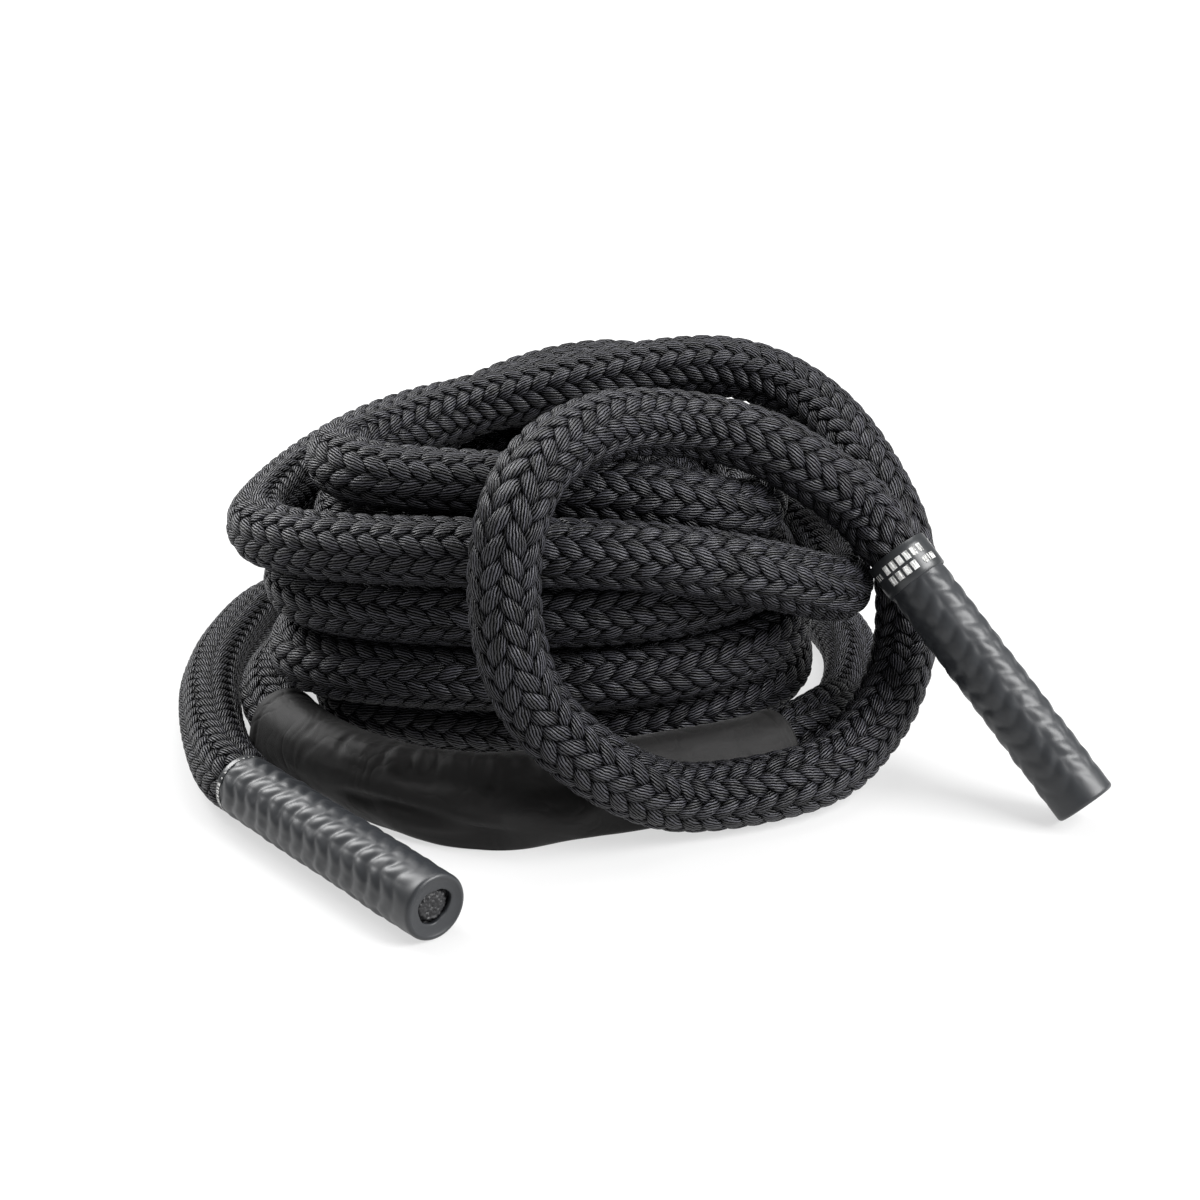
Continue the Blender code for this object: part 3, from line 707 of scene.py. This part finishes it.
def add_strand(number, hand):
    mesh = strand_pattern.copy()
    places, turns, radii = strand_shape(point_steps, point_corners, number, hand)
    move_to(mesh, on_rope(places, turns, radii))
    face_outwards(mesh)
    # Each point's height in the braid, which the yarn material turns into painted shade deep
    # between strands
    give(mesh, "height", np.clip((radii - DEEPEST) / (ROPE_RADIUS - DEEPEST), 0, 1))
    yarn_map(mesh, hand)
    way = "right" if hand > 0 else "left"
    return new_piece(f"strand_{way}_{number + 1:02d}", mesh, yarn)


strands = [add_strand(number, hand) for hand in (1, -1) for number in range(STRANDS_EACH_WAY)]
print("strands:", len(strands), "triangles each:", 2 * strand_steps * STRAND_CORNERS)

# %% [markdown]
# Inside the braid is a core of straight yarns. Nothing of it shows but a dark floor between the
# strands, so a plain tube is enough. Its two cut ends do show, in the grips' mouths: a picture
# of cut yarn would look flat there, so each is a fine grid, domed and roughened by noise.

# %% The core
CORE_RADIUS = 13.6 * MM
CORE_STEP = 8 * MM
CORE_CORNERS = 12
CORE_SETBACK = 7 * MM
MOUTH_RADIUS = 9.2 * MM
CUT_RADIUS = 10.5 * MM
CUT_STEP = 0.45 * MM
CUT_RELIEF = 1.1 * MM
CUT_GRAIN = 1.5 * MM
CUT_SETBACK = 2.9 * MM
CUT_DOME, DOME_POWER = 2.6 * MM, 6
CUT_THICKNESS = 0.5 * MM
CUT_SEEDS = (0, 40)


def rough_disc(seed):
    """A cut end of a rope: a round grid whose points stand a little higher or lower."""
    work = bmesh.new()
    count = round(2 * CUT_RADIUS / CUT_STEP)
    bmesh.ops.create_grid(work, x_segments=count, y_segments=count, size=CUT_RADIUS)
    outside = [vert for vert in work.verts if vert.co.length > CUT_RADIUS]
    bmesh.ops.delete(work, geom=outside, context="VERTS")
    for vert in work.verts:
        dome = CUT_DOME * (vert.co.length / MOUTH_RADIUS) ** DOME_POWER
        grain = noise_at([vert.co / CUT_GRAIN + Vector((seed, 0, 0))], octaves=3)[0]
        vert.co.z = CUT_RELIEF * grain - min(dome, CUT_DOME)
    bmesh.ops.solidify(work, geom=work.faces[:], thickness=CUT_THICKNESS)
    bmesh.ops.recalc_face_normals(work, faces=work.faces)
    mesh = mesh_of(work, "rough_disc")
    mesh.polygons.foreach_set("material_index", np.ones(len(mesh.polygons), np.int32))
    return mesh


def grip_places(mouth, way):
    """The turn that sets a piece spun round Z on the grip's line, with its zero at the mouth."""
    turn = Vector(way).to_track_quat("Z", "Y").to_matrix().to_4x4()
    return Matrix.Translation(Vector(mouth)) @ turn


def add_core():
    steps = round(rope_length / CORE_STEP)
    tube = rolled_tube(steps, CORE_CORNERS)
    points = coordinates(tube)
    turns = np.arctan2(points[:, 2], points[:, 1])
    places = CORE_SETBACK + points[:, 0] * (rope_length - 2 * CORE_SETBACK)
    move_to(tube, on_rope(places, turns, np.full(len(points), CORE_RADIUS)))
    work = bmesh.new()
    work.from_mesh(tube)
    for seed, mouth, way in zip(CUT_SEEDS, (left_mouth, right_mouth), (left_way, right_way)):
        disc = rough_disc(seed)
        disc.transform(Matrix.Translation((0, 0, GRIP_LENGTH - CUT_SETBACK)))
        disc.transform(grip_places(mouth, way))
        work.from_mesh(disc)
    work.to_mesh(tube)
    work.free()
    # Straight yarns in the dark of the braid: nearly black and dull, as painted shade, so gaps look
    # deep
    inside, _, _ = new_material("black_polyester_core_painted_shade", "0c0c0d", 0.8)
    # Yarns cut across: their ends scatter light, so the face is a little paler and speckled
    cut, _, _ = new_material("cut_polyester_yarn_ends", "1d1d1f", 0.5)
    piece = new_piece("rope_core", tube, inside)
    tube.materials.append(cut)
    return piece


core = add_core()
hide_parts("rope_floor_stretch", "rope_coil", "rope_front_loop")
print("core triangles:", sum(len(face.vertices) - 2 for face in core.data.polygons))

# %% [markdown]
# Each grip is a tube of heat-shrink plastic. Warm air draws it tight round the braid, so the
# strands press through it as soft slanting lumps, and its end curls in to a lip round the cut
# rope. It could be carved as a plain cylinder with bumps in the material, but the lumps catch the
# light and show in the outline. So a profile is spun round, and the braid's own formula lifts its
# surface.

# %% Shrunk plastic tube
# The real grain is finer than a pixel here, so it is drawn as coarse as it needs to show
TUBE_GRAIN = 0.9 * MM
TUBE_GRAIN_DEPTH = 0.1 * MM


def shrink_tube():
    """Polyolefin tube, shrunk by warm air: satin, with a faint grain and broad soft highlights."""
    paint, tree, shader = new_material("black_shrink_tube", "242629", 0.42)
    place = add_node(tree, "ShaderNodeTexCoord")
    grain = add_node(
        tree, "ShaderNodeTexNoise", {"Vector": place.outputs["Object"]},
        {"Scale": 1 / TUBE_GRAIN, "Detail": 2.0})
    bump = add_node(
        tree, "ShaderNodeBump", {"Height": grain},
        {"Strength": 0.12, "Distance": TUBE_GRAIN_DEPTH})
    feed(tree, shader, {"Normal": bump})
    return paint


plastic = shrink_tube()
print("tube grain, mm:", TUBE_GRAIN / MM)

# %% The grip's shape
GRIP_WALL = 1.5 * MM
GRIP_STEP = 1.2 * MM
GRIP_TURNS = 128
END_ROUNDING = 2.2 * MM
MOUTH_DISH = 1.7 * MM
MOUTH_WAVER = 0.75 * MM
ROUND_STEPS = 5
DISH_SHARES = (0.06, 0.15, 0.4, 0.7, 0.93)
DISH_POWER = 0.8
LIP_DEPTH, LIP_CHAMFER = 5 * MM, 0.3 * MM
LEFT_LUMPS, RIGHT_LUMPS = 1.2 * MM, 0.8 * MM
SMOOTH_END = 26 * MM
ZIGZAG_SHARE = 0.42
RIDGE_POWER = 1.1
COLUMN_DIP = 0.4
UNEVENNESS = 0.5 * MM
UNEVEN_SIZE = 9 * MM
BAND_WIDTH = 21 * MM


def lumps(places, turns):
    """How far the braid lifts the tube, from 0 to 1, at distances from its mouth."""
    column = COLUMNS * turns - math.pi / 4
    zigzag = ZIGZAG_SHARE * np.sin(column) / 2
    ridge = np.abs(np.sin(math.pi * (places / FLOAT_PITCH - zigzag))) ** RIDGE_POWER
    return ridge * (1 - COLUMN_DIP + COLUMN_DIP * np.abs(np.cos(column)))


def grip_profile():
    """Down the outer side, round the end into the mouth, and back up the bore: radius, distance."""
    outer, bore = GRIP_RADIUS, GRIP_RADIUS - GRIP_WALL
    count = round((GRIP_LENGTH - END_ROUNDING) / GRIP_STEP)
    profile = [(outer, (GRIP_LENGTH - END_ROUNDING) * step / count) for step in range(count)]
    face = outer - END_ROUNDING
    for step in range(ROUND_STEPS + 1):
        angle = math.pi / 2 * step / ROUND_STEPS
        distance = GRIP_LENGTH - END_ROUNDING * (1 - math.sin(angle))
        profile.append((face + END_ROUNDING * math.cos(angle), distance))
    for share in DISH_SHARES:
        depth = MOUTH_DISH * math.sin(share * math.pi / 2) ** DISH_POWER
        profile.append((face + (MOUTH_RADIUS - face) * share, GRIP_LENGTH - depth))
    for depth in (LIP_CHAMFER, GRIP_WALL):
        profile.append((MOUTH_RADIUS, GRIP_LENGTH - MOUTH_DISH - depth))
    profile.append((MOUTH_RADIUS + LIP_CHAMFER, GRIP_LENGTH - LIP_DEPTH))
    return profile + [(bore, GRIP_LENGTH - LIP_DEPTH), (bore, 0)]


print("corners of the grip's section:", len(grip_profile()))

# %% Two grips
def spun(profile, turns):
    """A closed profile of radius and distance turned round Z, which points down the grip."""
    work = bmesh.new()
    corners = [work.verts.new((radius, 0, distance)) for radius, distance in profile]
    edges = [work.edges.new(pair) for pair in zip(corners, corners[1:] + corners[:1])]
    bmesh.ops.spin(
        work, geom=corners + edges, cent=(0, 0, 0), axis=(0, 0, 1), angle=2 * math.pi,
        steps=turns, use_merge=True, use_duplicate=False)
    bmesh.ops.recalc_face_normals(work, faces=work.faces)
    return mesh_of(work, "spun")


def add_grip(side, mouth, way, calm_until, lump_height):
    """A grip whose lumps start where its band ends and fade out before its own end."""
    mesh = spun(grip_profile(), GRIP_TURNS)
    found = coordinates(mesh)
    turns = np.arctan2(found[:, 1], found[:, 0])
    radii = np.hypot(found[:, 0], found[:, 1])
    outside = np.clip((radii - (GRIP_RADIUS - GRIP_WALL / 2)) / (GRIP_WALL / 4), 0, 1)
    fade = np.clip((GRIP_LENGTH - found[:, 2]) / SMOOTH_END, 0, 1)
    fade *= np.clip((found[:, 2] - calm_until) / FLOAT_PITCH + 1, 0, 1)
    lift = lump_height * (lumps(found[:, 2], turns) - 0.5)
    lift += UNEVENNESS * noise_at((found + mouth) / UNEVEN_SIZE)
    lift *= eased(fade) * outside
    # The hole is not quite round: its rim wavers, out to one and a half times its radius
    near_hole = 2 * np.clip(1.5 - radii / MOUTH_RADIUS, 0, 0.5)
    near_hole *= found[:, 2] > GRIP_LENGTH - LIP_DEPTH - LIP_CHAMFER
    waver = np.sin(2 * turns + 1) + 0.6 * np.sin(3 * turns + 0.5) + 0.2 * np.sin(7 * turns)
    lift += MOUTH_WAVER * waver * near_hole
    found[:, :2] *= (1 + lift / np.maximum(radii, LEAST_LENGTH))[:, None]
    move_to(mesh, found)
    mesh.transform(grip_places(mouth, way))
    piece = new_piece(side + "_grip_tube", mesh, plastic)
    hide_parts(side + "_grip")
    return piece


left_grip = add_grip("left", left_mouth, left_way, 0, LEFT_LUMPS)
right_grip = add_grip("right", right_mouth, right_way, BAND_WIDTH, RIGHT_LUMPS)
print("grip triangles:", sum(len(face.vertices) - 2 for face in left_grip.data.polygons))

# %% [markdown]
# A band of thin black film, printed in white, closes the mouth of each grip. The right one wraps
# the tube, and the left one has slipped under it, so only its rim shows. Film could be a mere
# stripe in the tube's material, but its step catches the light. So a thin ring is spun round, and
# the print is laid on it as thin patches of ink. The real lettering is not copied: plain blocks
# of about the same size stand for the words.

# %% Film, ink and the ring of a band
INK_HEIGHT = 0.06 * MM
BAND_EDGE = 0.2 * MM
BULGE_SHARES = (0.2, 0.5, 0.8)
PATCH_STEPS = 6

# Calendered vinyl film: smoother than the tube, so its highlight is narrower and clearer
film, _, _ = new_material("black_label_film", "232527", 0.33)
# Screen printed ink: a thick, even layer, so it is flat white without a clear highlight
ink, _, _ = new_material("white_screen_ink", "f0f0ee", 0.5)


def ring_profile(low, high, inner, outer, bulge):
    """A ring's section with rounded edges and a slightly bulged back: radius, distance."""
    profile = [(inner, low), (outer - BAND_EDGE, low), (outer, low + BAND_EDGE)]
    for share in BULGE_SHARES:
        profile.append((outer + bulge * math.sin(share * math.pi), low + (high - low) * share))
    return profile + [(outer, high - BAND_EDGE), (outer - BAND_EDGE, high), (inner, high)]


def front_turn(mouth, way):
    """Where on a spun piece the side is that faces the photographer."""
    facing = grip_places(mouth, way).inverted() @ Vector(CAMERA_PLACE)
    return math.atan2(facing.y, facing.x)


def add_band(side, mouth, way, reach, sizes, rows):
    """A spun ring with rows of ink blocks on it."""
    ring = spun(ring_profile(*reach, *sizes), GRIP_TURNS)
    radius = sizes[1] + sizes[2] + INK_HEIGHT
    work = bmesh.new()
    work.from_mesh(ring)
    bare = len(work.faces)
    for low, high, degrees, widths, gap in rows:
        start = front_turn(mouth, way) - math.radians(degrees)
        for width in widths:
            before = len(work.faces)
            made = bmesh.ops.create_grid(work, x_segments=PATCH_STEPS, y_segments=1, size=0.5)
            for vert in made["verts"]:
                turn = start - width * MM / radius * (0.5 - vert.co.x)
                distance = MM * (low + (high - low) * (vert.co.y + 0.5))
                vert.co = (radius * math.cos(turn), radius * math.sin(turn), distance)
            work.faces.ensure_lookup_table()
            bmesh.ops.solidify(work, geom=work.faces[before:], thickness=INK_HEIGHT)
            start -= (width + gap) * MM / radius
    work.faces.ensure_lookup_table()
    for face in work.faces[bare:]:
        face.material_index = 1
    bmesh.ops.recalc_face_normals(work, faces=work.faces)
    work.to_mesh(ring)
    work.free()
    ring.transform(grip_places(mouth, way))
    piece = new_piece(side + "_band_film", ring, film)
    ring.materials.append(ink)
    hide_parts(side + "_label_band")
    return piece


print("ink above the film, mm:", INK_HEIGHT / MM)

# %% Two bands
# Where each starts and ends, then its inner and outer radius and how far its back bulges
RIGHT_REACH, RIGHT_BAND = (0, BAND_WIDTH), (17.75 * MM, 18.7 * MM, 0.3 * MM)
LEFT_REACH, LEFT_BAND = (-4.3 * MM, -0.3 * MM), (16.6 * MM, 17.6 * MM, 0.05 * MM)
# Rows of ink: from and to in mm from the mouth, the first block's degrees from the front, and
# the widths of the blocks and the gap between them in mm
RIGHT_ROWS = [
    (4.6, 9.8, -38, [3.4, 3.5, 3.5, 3.5, 3.3, 3.3], 1.45),
    (11.6, 16.8, -40, [3.8, 3.9, 3.7, 3.6], 1.5), (12.6, 16.8, 31, [3.2, 1.2, 3.6], 0.7),
    (6.0, 9.5, -66, [1.0, 1.0, 1.4], 1.1), (4.5, 8.5, 78, [1.2, 1.6], 1.4),
]
LEFT_ROWS = [
    (-2.4, -0.5, -84, [1.6, 0.8, 2.2], 1.6), (-3.1, -0.6, -58, [2.4, 1.4, 2.0, 1.0, 1.8], 0.8),
    (-2.0, -0.5, -12, [0.9, 1.1, 0.7], 2.6), (-1.6, -0.5, 32, [0.8, 1.2, 0.8, 1.0], 2.2),
]

right_band = add_band("right", right_mouth, right_way, RIGHT_REACH, RIGHT_BAND, RIGHT_ROWS)
left_band = add_band("left", left_mouth, left_way, LEFT_REACH, LEFT_BAND, LEFT_ROWS)
print("blocks of ink:", sum(len(row[3]) for row in RIGHT_ROWS + LEFT_ROWS))

# %% [markdown]
# The wear sleeve is a strip of woven nylon, sewn into a tube with a hem at each end, that saves
# the rope from chafing at its anchor. It is looser than the rope: on top it lies on the strands,
# and in front its slack hangs to the floor and folds. Such cloth could be simulated, but a hand
# smoothed this one down. So a grid is rolled into an open tube, laid round the rope and let out
# to the edge measured on the floor. Noise makes the wrinkles and the gathers on top, dents are
# placed where the photograph shows them, and Solidify gives the cloth its thickness.

# %% Woven nylon
# Real threads lie about 0.3 mm apart, too fine for the render, so the weave is drawn coarser
THREAD_PITCH = 0.7 * MM
THREAD_DEPTH = 0.08 * MM
CLOTH_FLAT = (160 * MM, 353 * MM)
CREASE_SIZE = 30 * MM
CREASE_DEPTH = 3.0 * MM


def woven_nylon():
    """Nylon cloth in a plain weave: a warm black, dull, with a soft sheen where it turns away,
    and fine creases from lying folded in its packet."""
    paint, tree, shader = new_material(
        "black_woven_nylon", "131212", 0.6,
        {"Specular IOR Level": 0.27, "Sheen Weight": 0.08, "Sheen Roughness": 0.4})
    place = add_node(tree, "ShaderNodeTexCoord")
    apart = add_node(tree, "ShaderNodeSeparateXYZ", {"Vector": place.outputs["UV"]})
    waves = []
    for way, size in (("X", CLOTH_FLAT[1]), ("Y", CLOTH_FLAT[0])):
        turns = add_node(
            tree, "ShaderNodeMath", {0: apart.outputs[way]},
            {1: 2 * math.pi * size / THREAD_PITCH}, operation="MULTIPLY")
        waves.append(add_node(tree, "ShaderNodeMath", {0: turns}, operation="SINE"))
    weave = add_node(tree, "ShaderNodeMath", enumerate(waves), operation="MULTIPLY")
    rumple = add_node(
        tree, "ShaderNodeTexNoise", {"Vector": place.outputs["Object"]},
        {"Scale": 1 / CREASE_SIZE, "Detail": 2.0, "Distortion": 0.8})
    middle = add_node(tree, "ShaderNodeMath", {0: rumple}, {1: 0.5}, operation="SUBTRACT")
    crease = add_node(tree, "ShaderNodeMath", {0: middle}, operation="ABSOLUTE")
    creased = add_node(
        tree, "ShaderNodeBump", {"Height": crease}, {"Strength": 1.0, "Distance": CREASE_DEPTH})
    bump = add_node(
        tree, "ShaderNodeBump", {"Height": weave, "Normal": creased},
        {"Strength": 0.5, "Distance": THREAD_DEPTH})
    feed(tree, shader, {"Normal": bump})
    return paint


nylon = woven_nylon()
print("cloth laid flat, mm:", [round(side / MM) for side in CLOTH_FLAT])

# %% The sleeve's sizes, edge and dents
SLEEVE_STEPS, SLEEVE_CORNERS = 280, 96
SLEEVE_SEAM = math.radians(200)
CLOTH_LENGTH = 337 * MM
CLOTH_THICKNESS = 0.45 * MM
CLOTH_OVER_ROPE = 20.0 * MM
CLOTH_ABOVE_FLOOR = 0.5 * MM
LEAST_CLOTH = 19.1 * MM
CLOTH_SOFTNESS = 0.25 * MM
SAG_ABOVE, SAG_BELOW = math.radians(38), math.radians(60)
HEM_WIDTH = 7 * MM
HEM_LIFT = 0.6 * MM
STITCH_DEPTH, STITCH_WIDTH, STITCH_INSET = 0.7 * MM, 1.1 * MM, 0.5 * MM
CALM_END = 25 * MM
TAUT_SHARE = 0.3
WRINKLE_HEIGHT = 2.6 * MM
WRINKLE_LENGTH = 50 * MM
WRINKLE_WIDTH = 13 * MM
GATHER_HEIGHT = 2.8 * MM
GATHER_FULLNESS = 2.2 * MM
GATHER_LENGTH = 9 * MM
GATHER_WIDTH = 26 * MM
GATHER_MIDDLE, GATHER_REACH = 198 * MM, 62 * MM
GATHER_TURN, GATHER_SPREAD = math.radians(66), math.radians(20)
GATHER_SEED = 7
# How far from the sleeve's right end, and how far in front of the rope's middle its edge lies.
# Between these the edge is a running average of a few samples, and its last ones are trimmed
EDGE_SAMPLES, EDGE_AVERAGE, EDGE_TRIM = 177, 5, 8
EDGE_MARGIN = 8 * MM
EDGE_PLACES = np.array([0, 66, 102, 126, 146, 172, 184, 204, 236, 268, 302, 338]) * MM
EDGE_AHEAD = np.array([24, 27.4, 26.7, 25.4, 26.4, 29, 28, 23.8, 12.9, 9.2, 11, 17.8]) * MM
# From the right end in mm, degrees from level at the front, half length, half width and depth in mm
DENTS = [
    (231, 62, 2.8, 9, 4.2), (222, 58, 4, 8, -1.8), (215, 54, 2.0, 7, 2.4), (204, 52, 2.4, 8, 3.0),
    (190, 55, 3, 5, -1.2), (174, 43, 2.6, 8, 3.0), (259, 60, 2.6, 7, 1.8), (286, 62, 2, 5, 1.2),
    (150, 44, 2, 5, 1.1), (177, -26, 14, 3, 7.0), (176, -9, 17, 3.5, -2.6), (212, -15, 24, 3, 4.0),
    (240, -22, 9, 3, 3.6), (188, -34, 19, 1.8, 4.0), (262, 25, 26, 4, 1.3), (130, 22, 30, 5, 1.8),
    (110, -4, 26, 4, -1.6), (215, 32, 18, 4, 1.6), (185, 14, 24, 4, -1.4), (95, 36, 20, 4, 1.4),
]


def turn_from(start, turns):
    """How far round the turns are from the start, up to half a turn either way."""
    return (turns - start + math.pi) % (2 * math.pi) - math.pi


def sleeve_radii(along, turns, heights):
    """How far the cloth is from the rope's middle at each distance from its right end and turn."""
    fine = np.linspace(-EDGE_MARGIN, CLOTH_LENGTH + EDGE_MARGIN, EDGE_SAMPLES)
    shares = np.ones(EDGE_AVERAGE) / EDGE_AVERAGE
    table = np.convolve(np.interp(fine, EDGE_PLACES, EDGE_AHEAD), shares, "same")
    ahead = np.interp(along, fine[EDGE_TRIM:-EDGE_TRIM], table[EDGE_TRIM:-EDGE_TRIM])
    # The slack hangs round the direction of the edge, and less and less to either side
    below = heights - CLOTH_ABOVE_FLOOR
    away = turn_from(-np.arctan2(below, ahead), turns)
    slack = np.exp(-((away / np.where(away > 0, SAG_ABOVE, SAG_BELOW)) ** 2))
    radii = CLOTH_OVER_ROPE + (np.hypot(below, ahead) - CLOTH_OVER_ROPE) * slack
    from_end = np.minimum(along, CLOTH_LENGTH - along)
    radii += HEM_LIFT * np.clip((HEM_WIDTH - from_end) / MM + 0.5, 0, 1)
    radii -= STITCH_DEPTH * np.exp(-(((from_end - HEM_WIDTH + STITCH_INSET) / STITCH_WIDTH) ** 2))
    for place, degrees, length, width, depth in DENTS:
        lengthways = (along / MM - place) / length
        around = turn_from(math.radians(degrees), turns) * CLOTH_OVER_ROPE / (width * MM)
        radii -= depth * MM * np.exp(-lengthways ** 2 - around ** 2)
    across = CLOTH_OVER_ROPE / WRINKLE_WIDTH
    wrinkle = noise_at(np.column_stack(
        [along / WRINKLE_LENGTH, across * np.cos(turns), across * np.sin(turns)]))
    calm = np.clip(from_end / CALM_END, 0, 1)
    radii += WRINKLE_HEIGHT * wrinkle * (TAUT_SHARE + slack) * calm
    around = turns * CLOTH_OVER_ROPE / GATHER_WIDTH
    gather = noise_at(np.column_stack(
        [along / GATHER_LENGTH, around, np.full(len(turns), GATHER_SEED)]))
    lengthways = (along - GATHER_MIDDLE) / GATHER_REACH
    upward = turn_from(GATHER_TURN, turns) / GATHER_SPREAD
    fullness = GATHER_FULLNESS + GATHER_HEIGHT * gather
    radii += fullness * np.exp(-lengthways ** 4 - upward ** 2)
    return softly_above(radii, LEAST_CLOTH, CLOTH_SOFTNESS)


print("dents placed by hand:", len(DENTS))

# %% The wear sleeve
def add_sleeve():
    mesh = rolled_tube(SLEEVE_STEPS, SLEEVE_CORNERS, capped=False)
    found = coordinates(mesh)
    along = found[:, 0] * CLOTH_LENGTH
    turns = np.arctan2(found[:, 2], found[:, 1]) + SLEEVE_SEAM
    places = sleeve_first + along
    middle = at(rope_line, rope_run, places)
    outward = np.cross((0, 0, 1), at(rope_ways, rope_run, places))
    outward /= np.linalg.norm(outward, axis=1)[:, None]
    radii = sleeve_radii(along, turns, middle[:, 2])
    spots = middle + outward * (np.cos(turns) * radii)[:, None]
    spots[:, 2] = softly_above(
        middle[:, 2] + np.sin(turns) * radii, CLOTH_ABOVE_FLOOR, FLOOR_SOFTNESS)
    move_to(mesh, spots)
    piece = new_piece("wear_sleeve_cloth", mesh, nylon)
    cloth = piece.modifiers.new("cloth_thickness", "SOLIDIFY")
    cloth.thickness = CLOTH_THICKNESS
    cloth.offset = -1
    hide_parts("wear_sleeve")
    return piece


sleeve = add_sleeve()
print("sleeve faces:", len(sleeve.data.polygons))

# %% [markdown]
# The photograph was taken in a white studio: its floor is white to the edges, with soft shadows
# near the pile. A photographer hangs white paper that curves up behind, and that could be
# modelled. A wide flat floor is simpler. It glows, so that it is pure white far off, and glows
# less near the pile, so that the shadows still show. Large lamps such as the studio's softboxes
# give each strand a broad soft highlight, and a dim world all round fills the shadows.

# %% The floor
FLOOR_SIZE = 2000
FLOOR_NEAR, FLOOR_FAR = 0.5, 1.6
NEAR_GLOW, FAR_GLOW = 0.62, 1.05


def add_floor():
    work = bmesh.new()
    bmesh.ops.create_grid(work, x_segments=1, y_segments=1, size=FLOOR_SIZE / 2)
    mesh = mesh_of(work, "studio_floor")
    floor = new_object("studio_floor", mesh)
    # Matt white paper: it scatters light evenly and has hardly any highlight
    paint, tree, shader = new_material(
        "white_studio_floor", "858585", 0.6,
        {"Emission Color": colour("ffffff"), "Specular IOR Level": 0.2})
    place = add_node(tree, "ShaderNodeTexCoord")
    away = add_node(tree, "ShaderNodeVectorMath", {0: place.outputs["Object"]}, operation="LENGTH")
    glow = add_node(
        tree, "ShaderNodeMapRange", {"Value": away.outputs["Value"]},
        {"From Min": FLOOR_NEAR, "From Max": FLOOR_FAR, "To Min": NEAR_GLOW, "To Max": FAR_GLOW})
    feed(tree, shader, {"Emission Strength": glow})
    mesh.materials.append(paint)
    return floor


print("floor size, m:", max(add_floor().dimensions))

# %% The lights and the view
# The name, place and width of each softbox, in metres, and its power in watts
SOFTBOXES = [
    ("softbox_left", (-1.2, 0.8, 1.25), 1.0, 44),
    ("softbox_above", (0.1, 0.6, 1.7), 1.2, 22),
    ("softbox_right", (1.35, -0.7, 1.25), 1.2, 68),
]
LIT_PLACE = Vector((0, 0, 0.1))
WORLD_STRENGTH = 0.36


def add_softbox(name, place, width, power):
    data = bpy.data.lights.new(name, "AREA")
    data.size = width
    data.energy = power
    light = new_object(name, data)
    light.location = place
    light.rotation_euler = (LIT_PLACE - Vector(place)).to_track_quat("-Z", "Y").to_euler()
    return light


def add_world():
    world = bpy.data.worlds.new("studio")
    world.use_nodes = True
    background = world.node_tree.nodes["Background"]
    fill(background, {"Strength": WORLD_STRENGTH, "Color": colour("ffffff")})
    bpy.context.scene.world = world


add_world()
bpy.context.scene.view_settings.view_transform = "Standard"
print("lights:", [add_softbox(*softbox).name for softbox in SOFTBOXES])
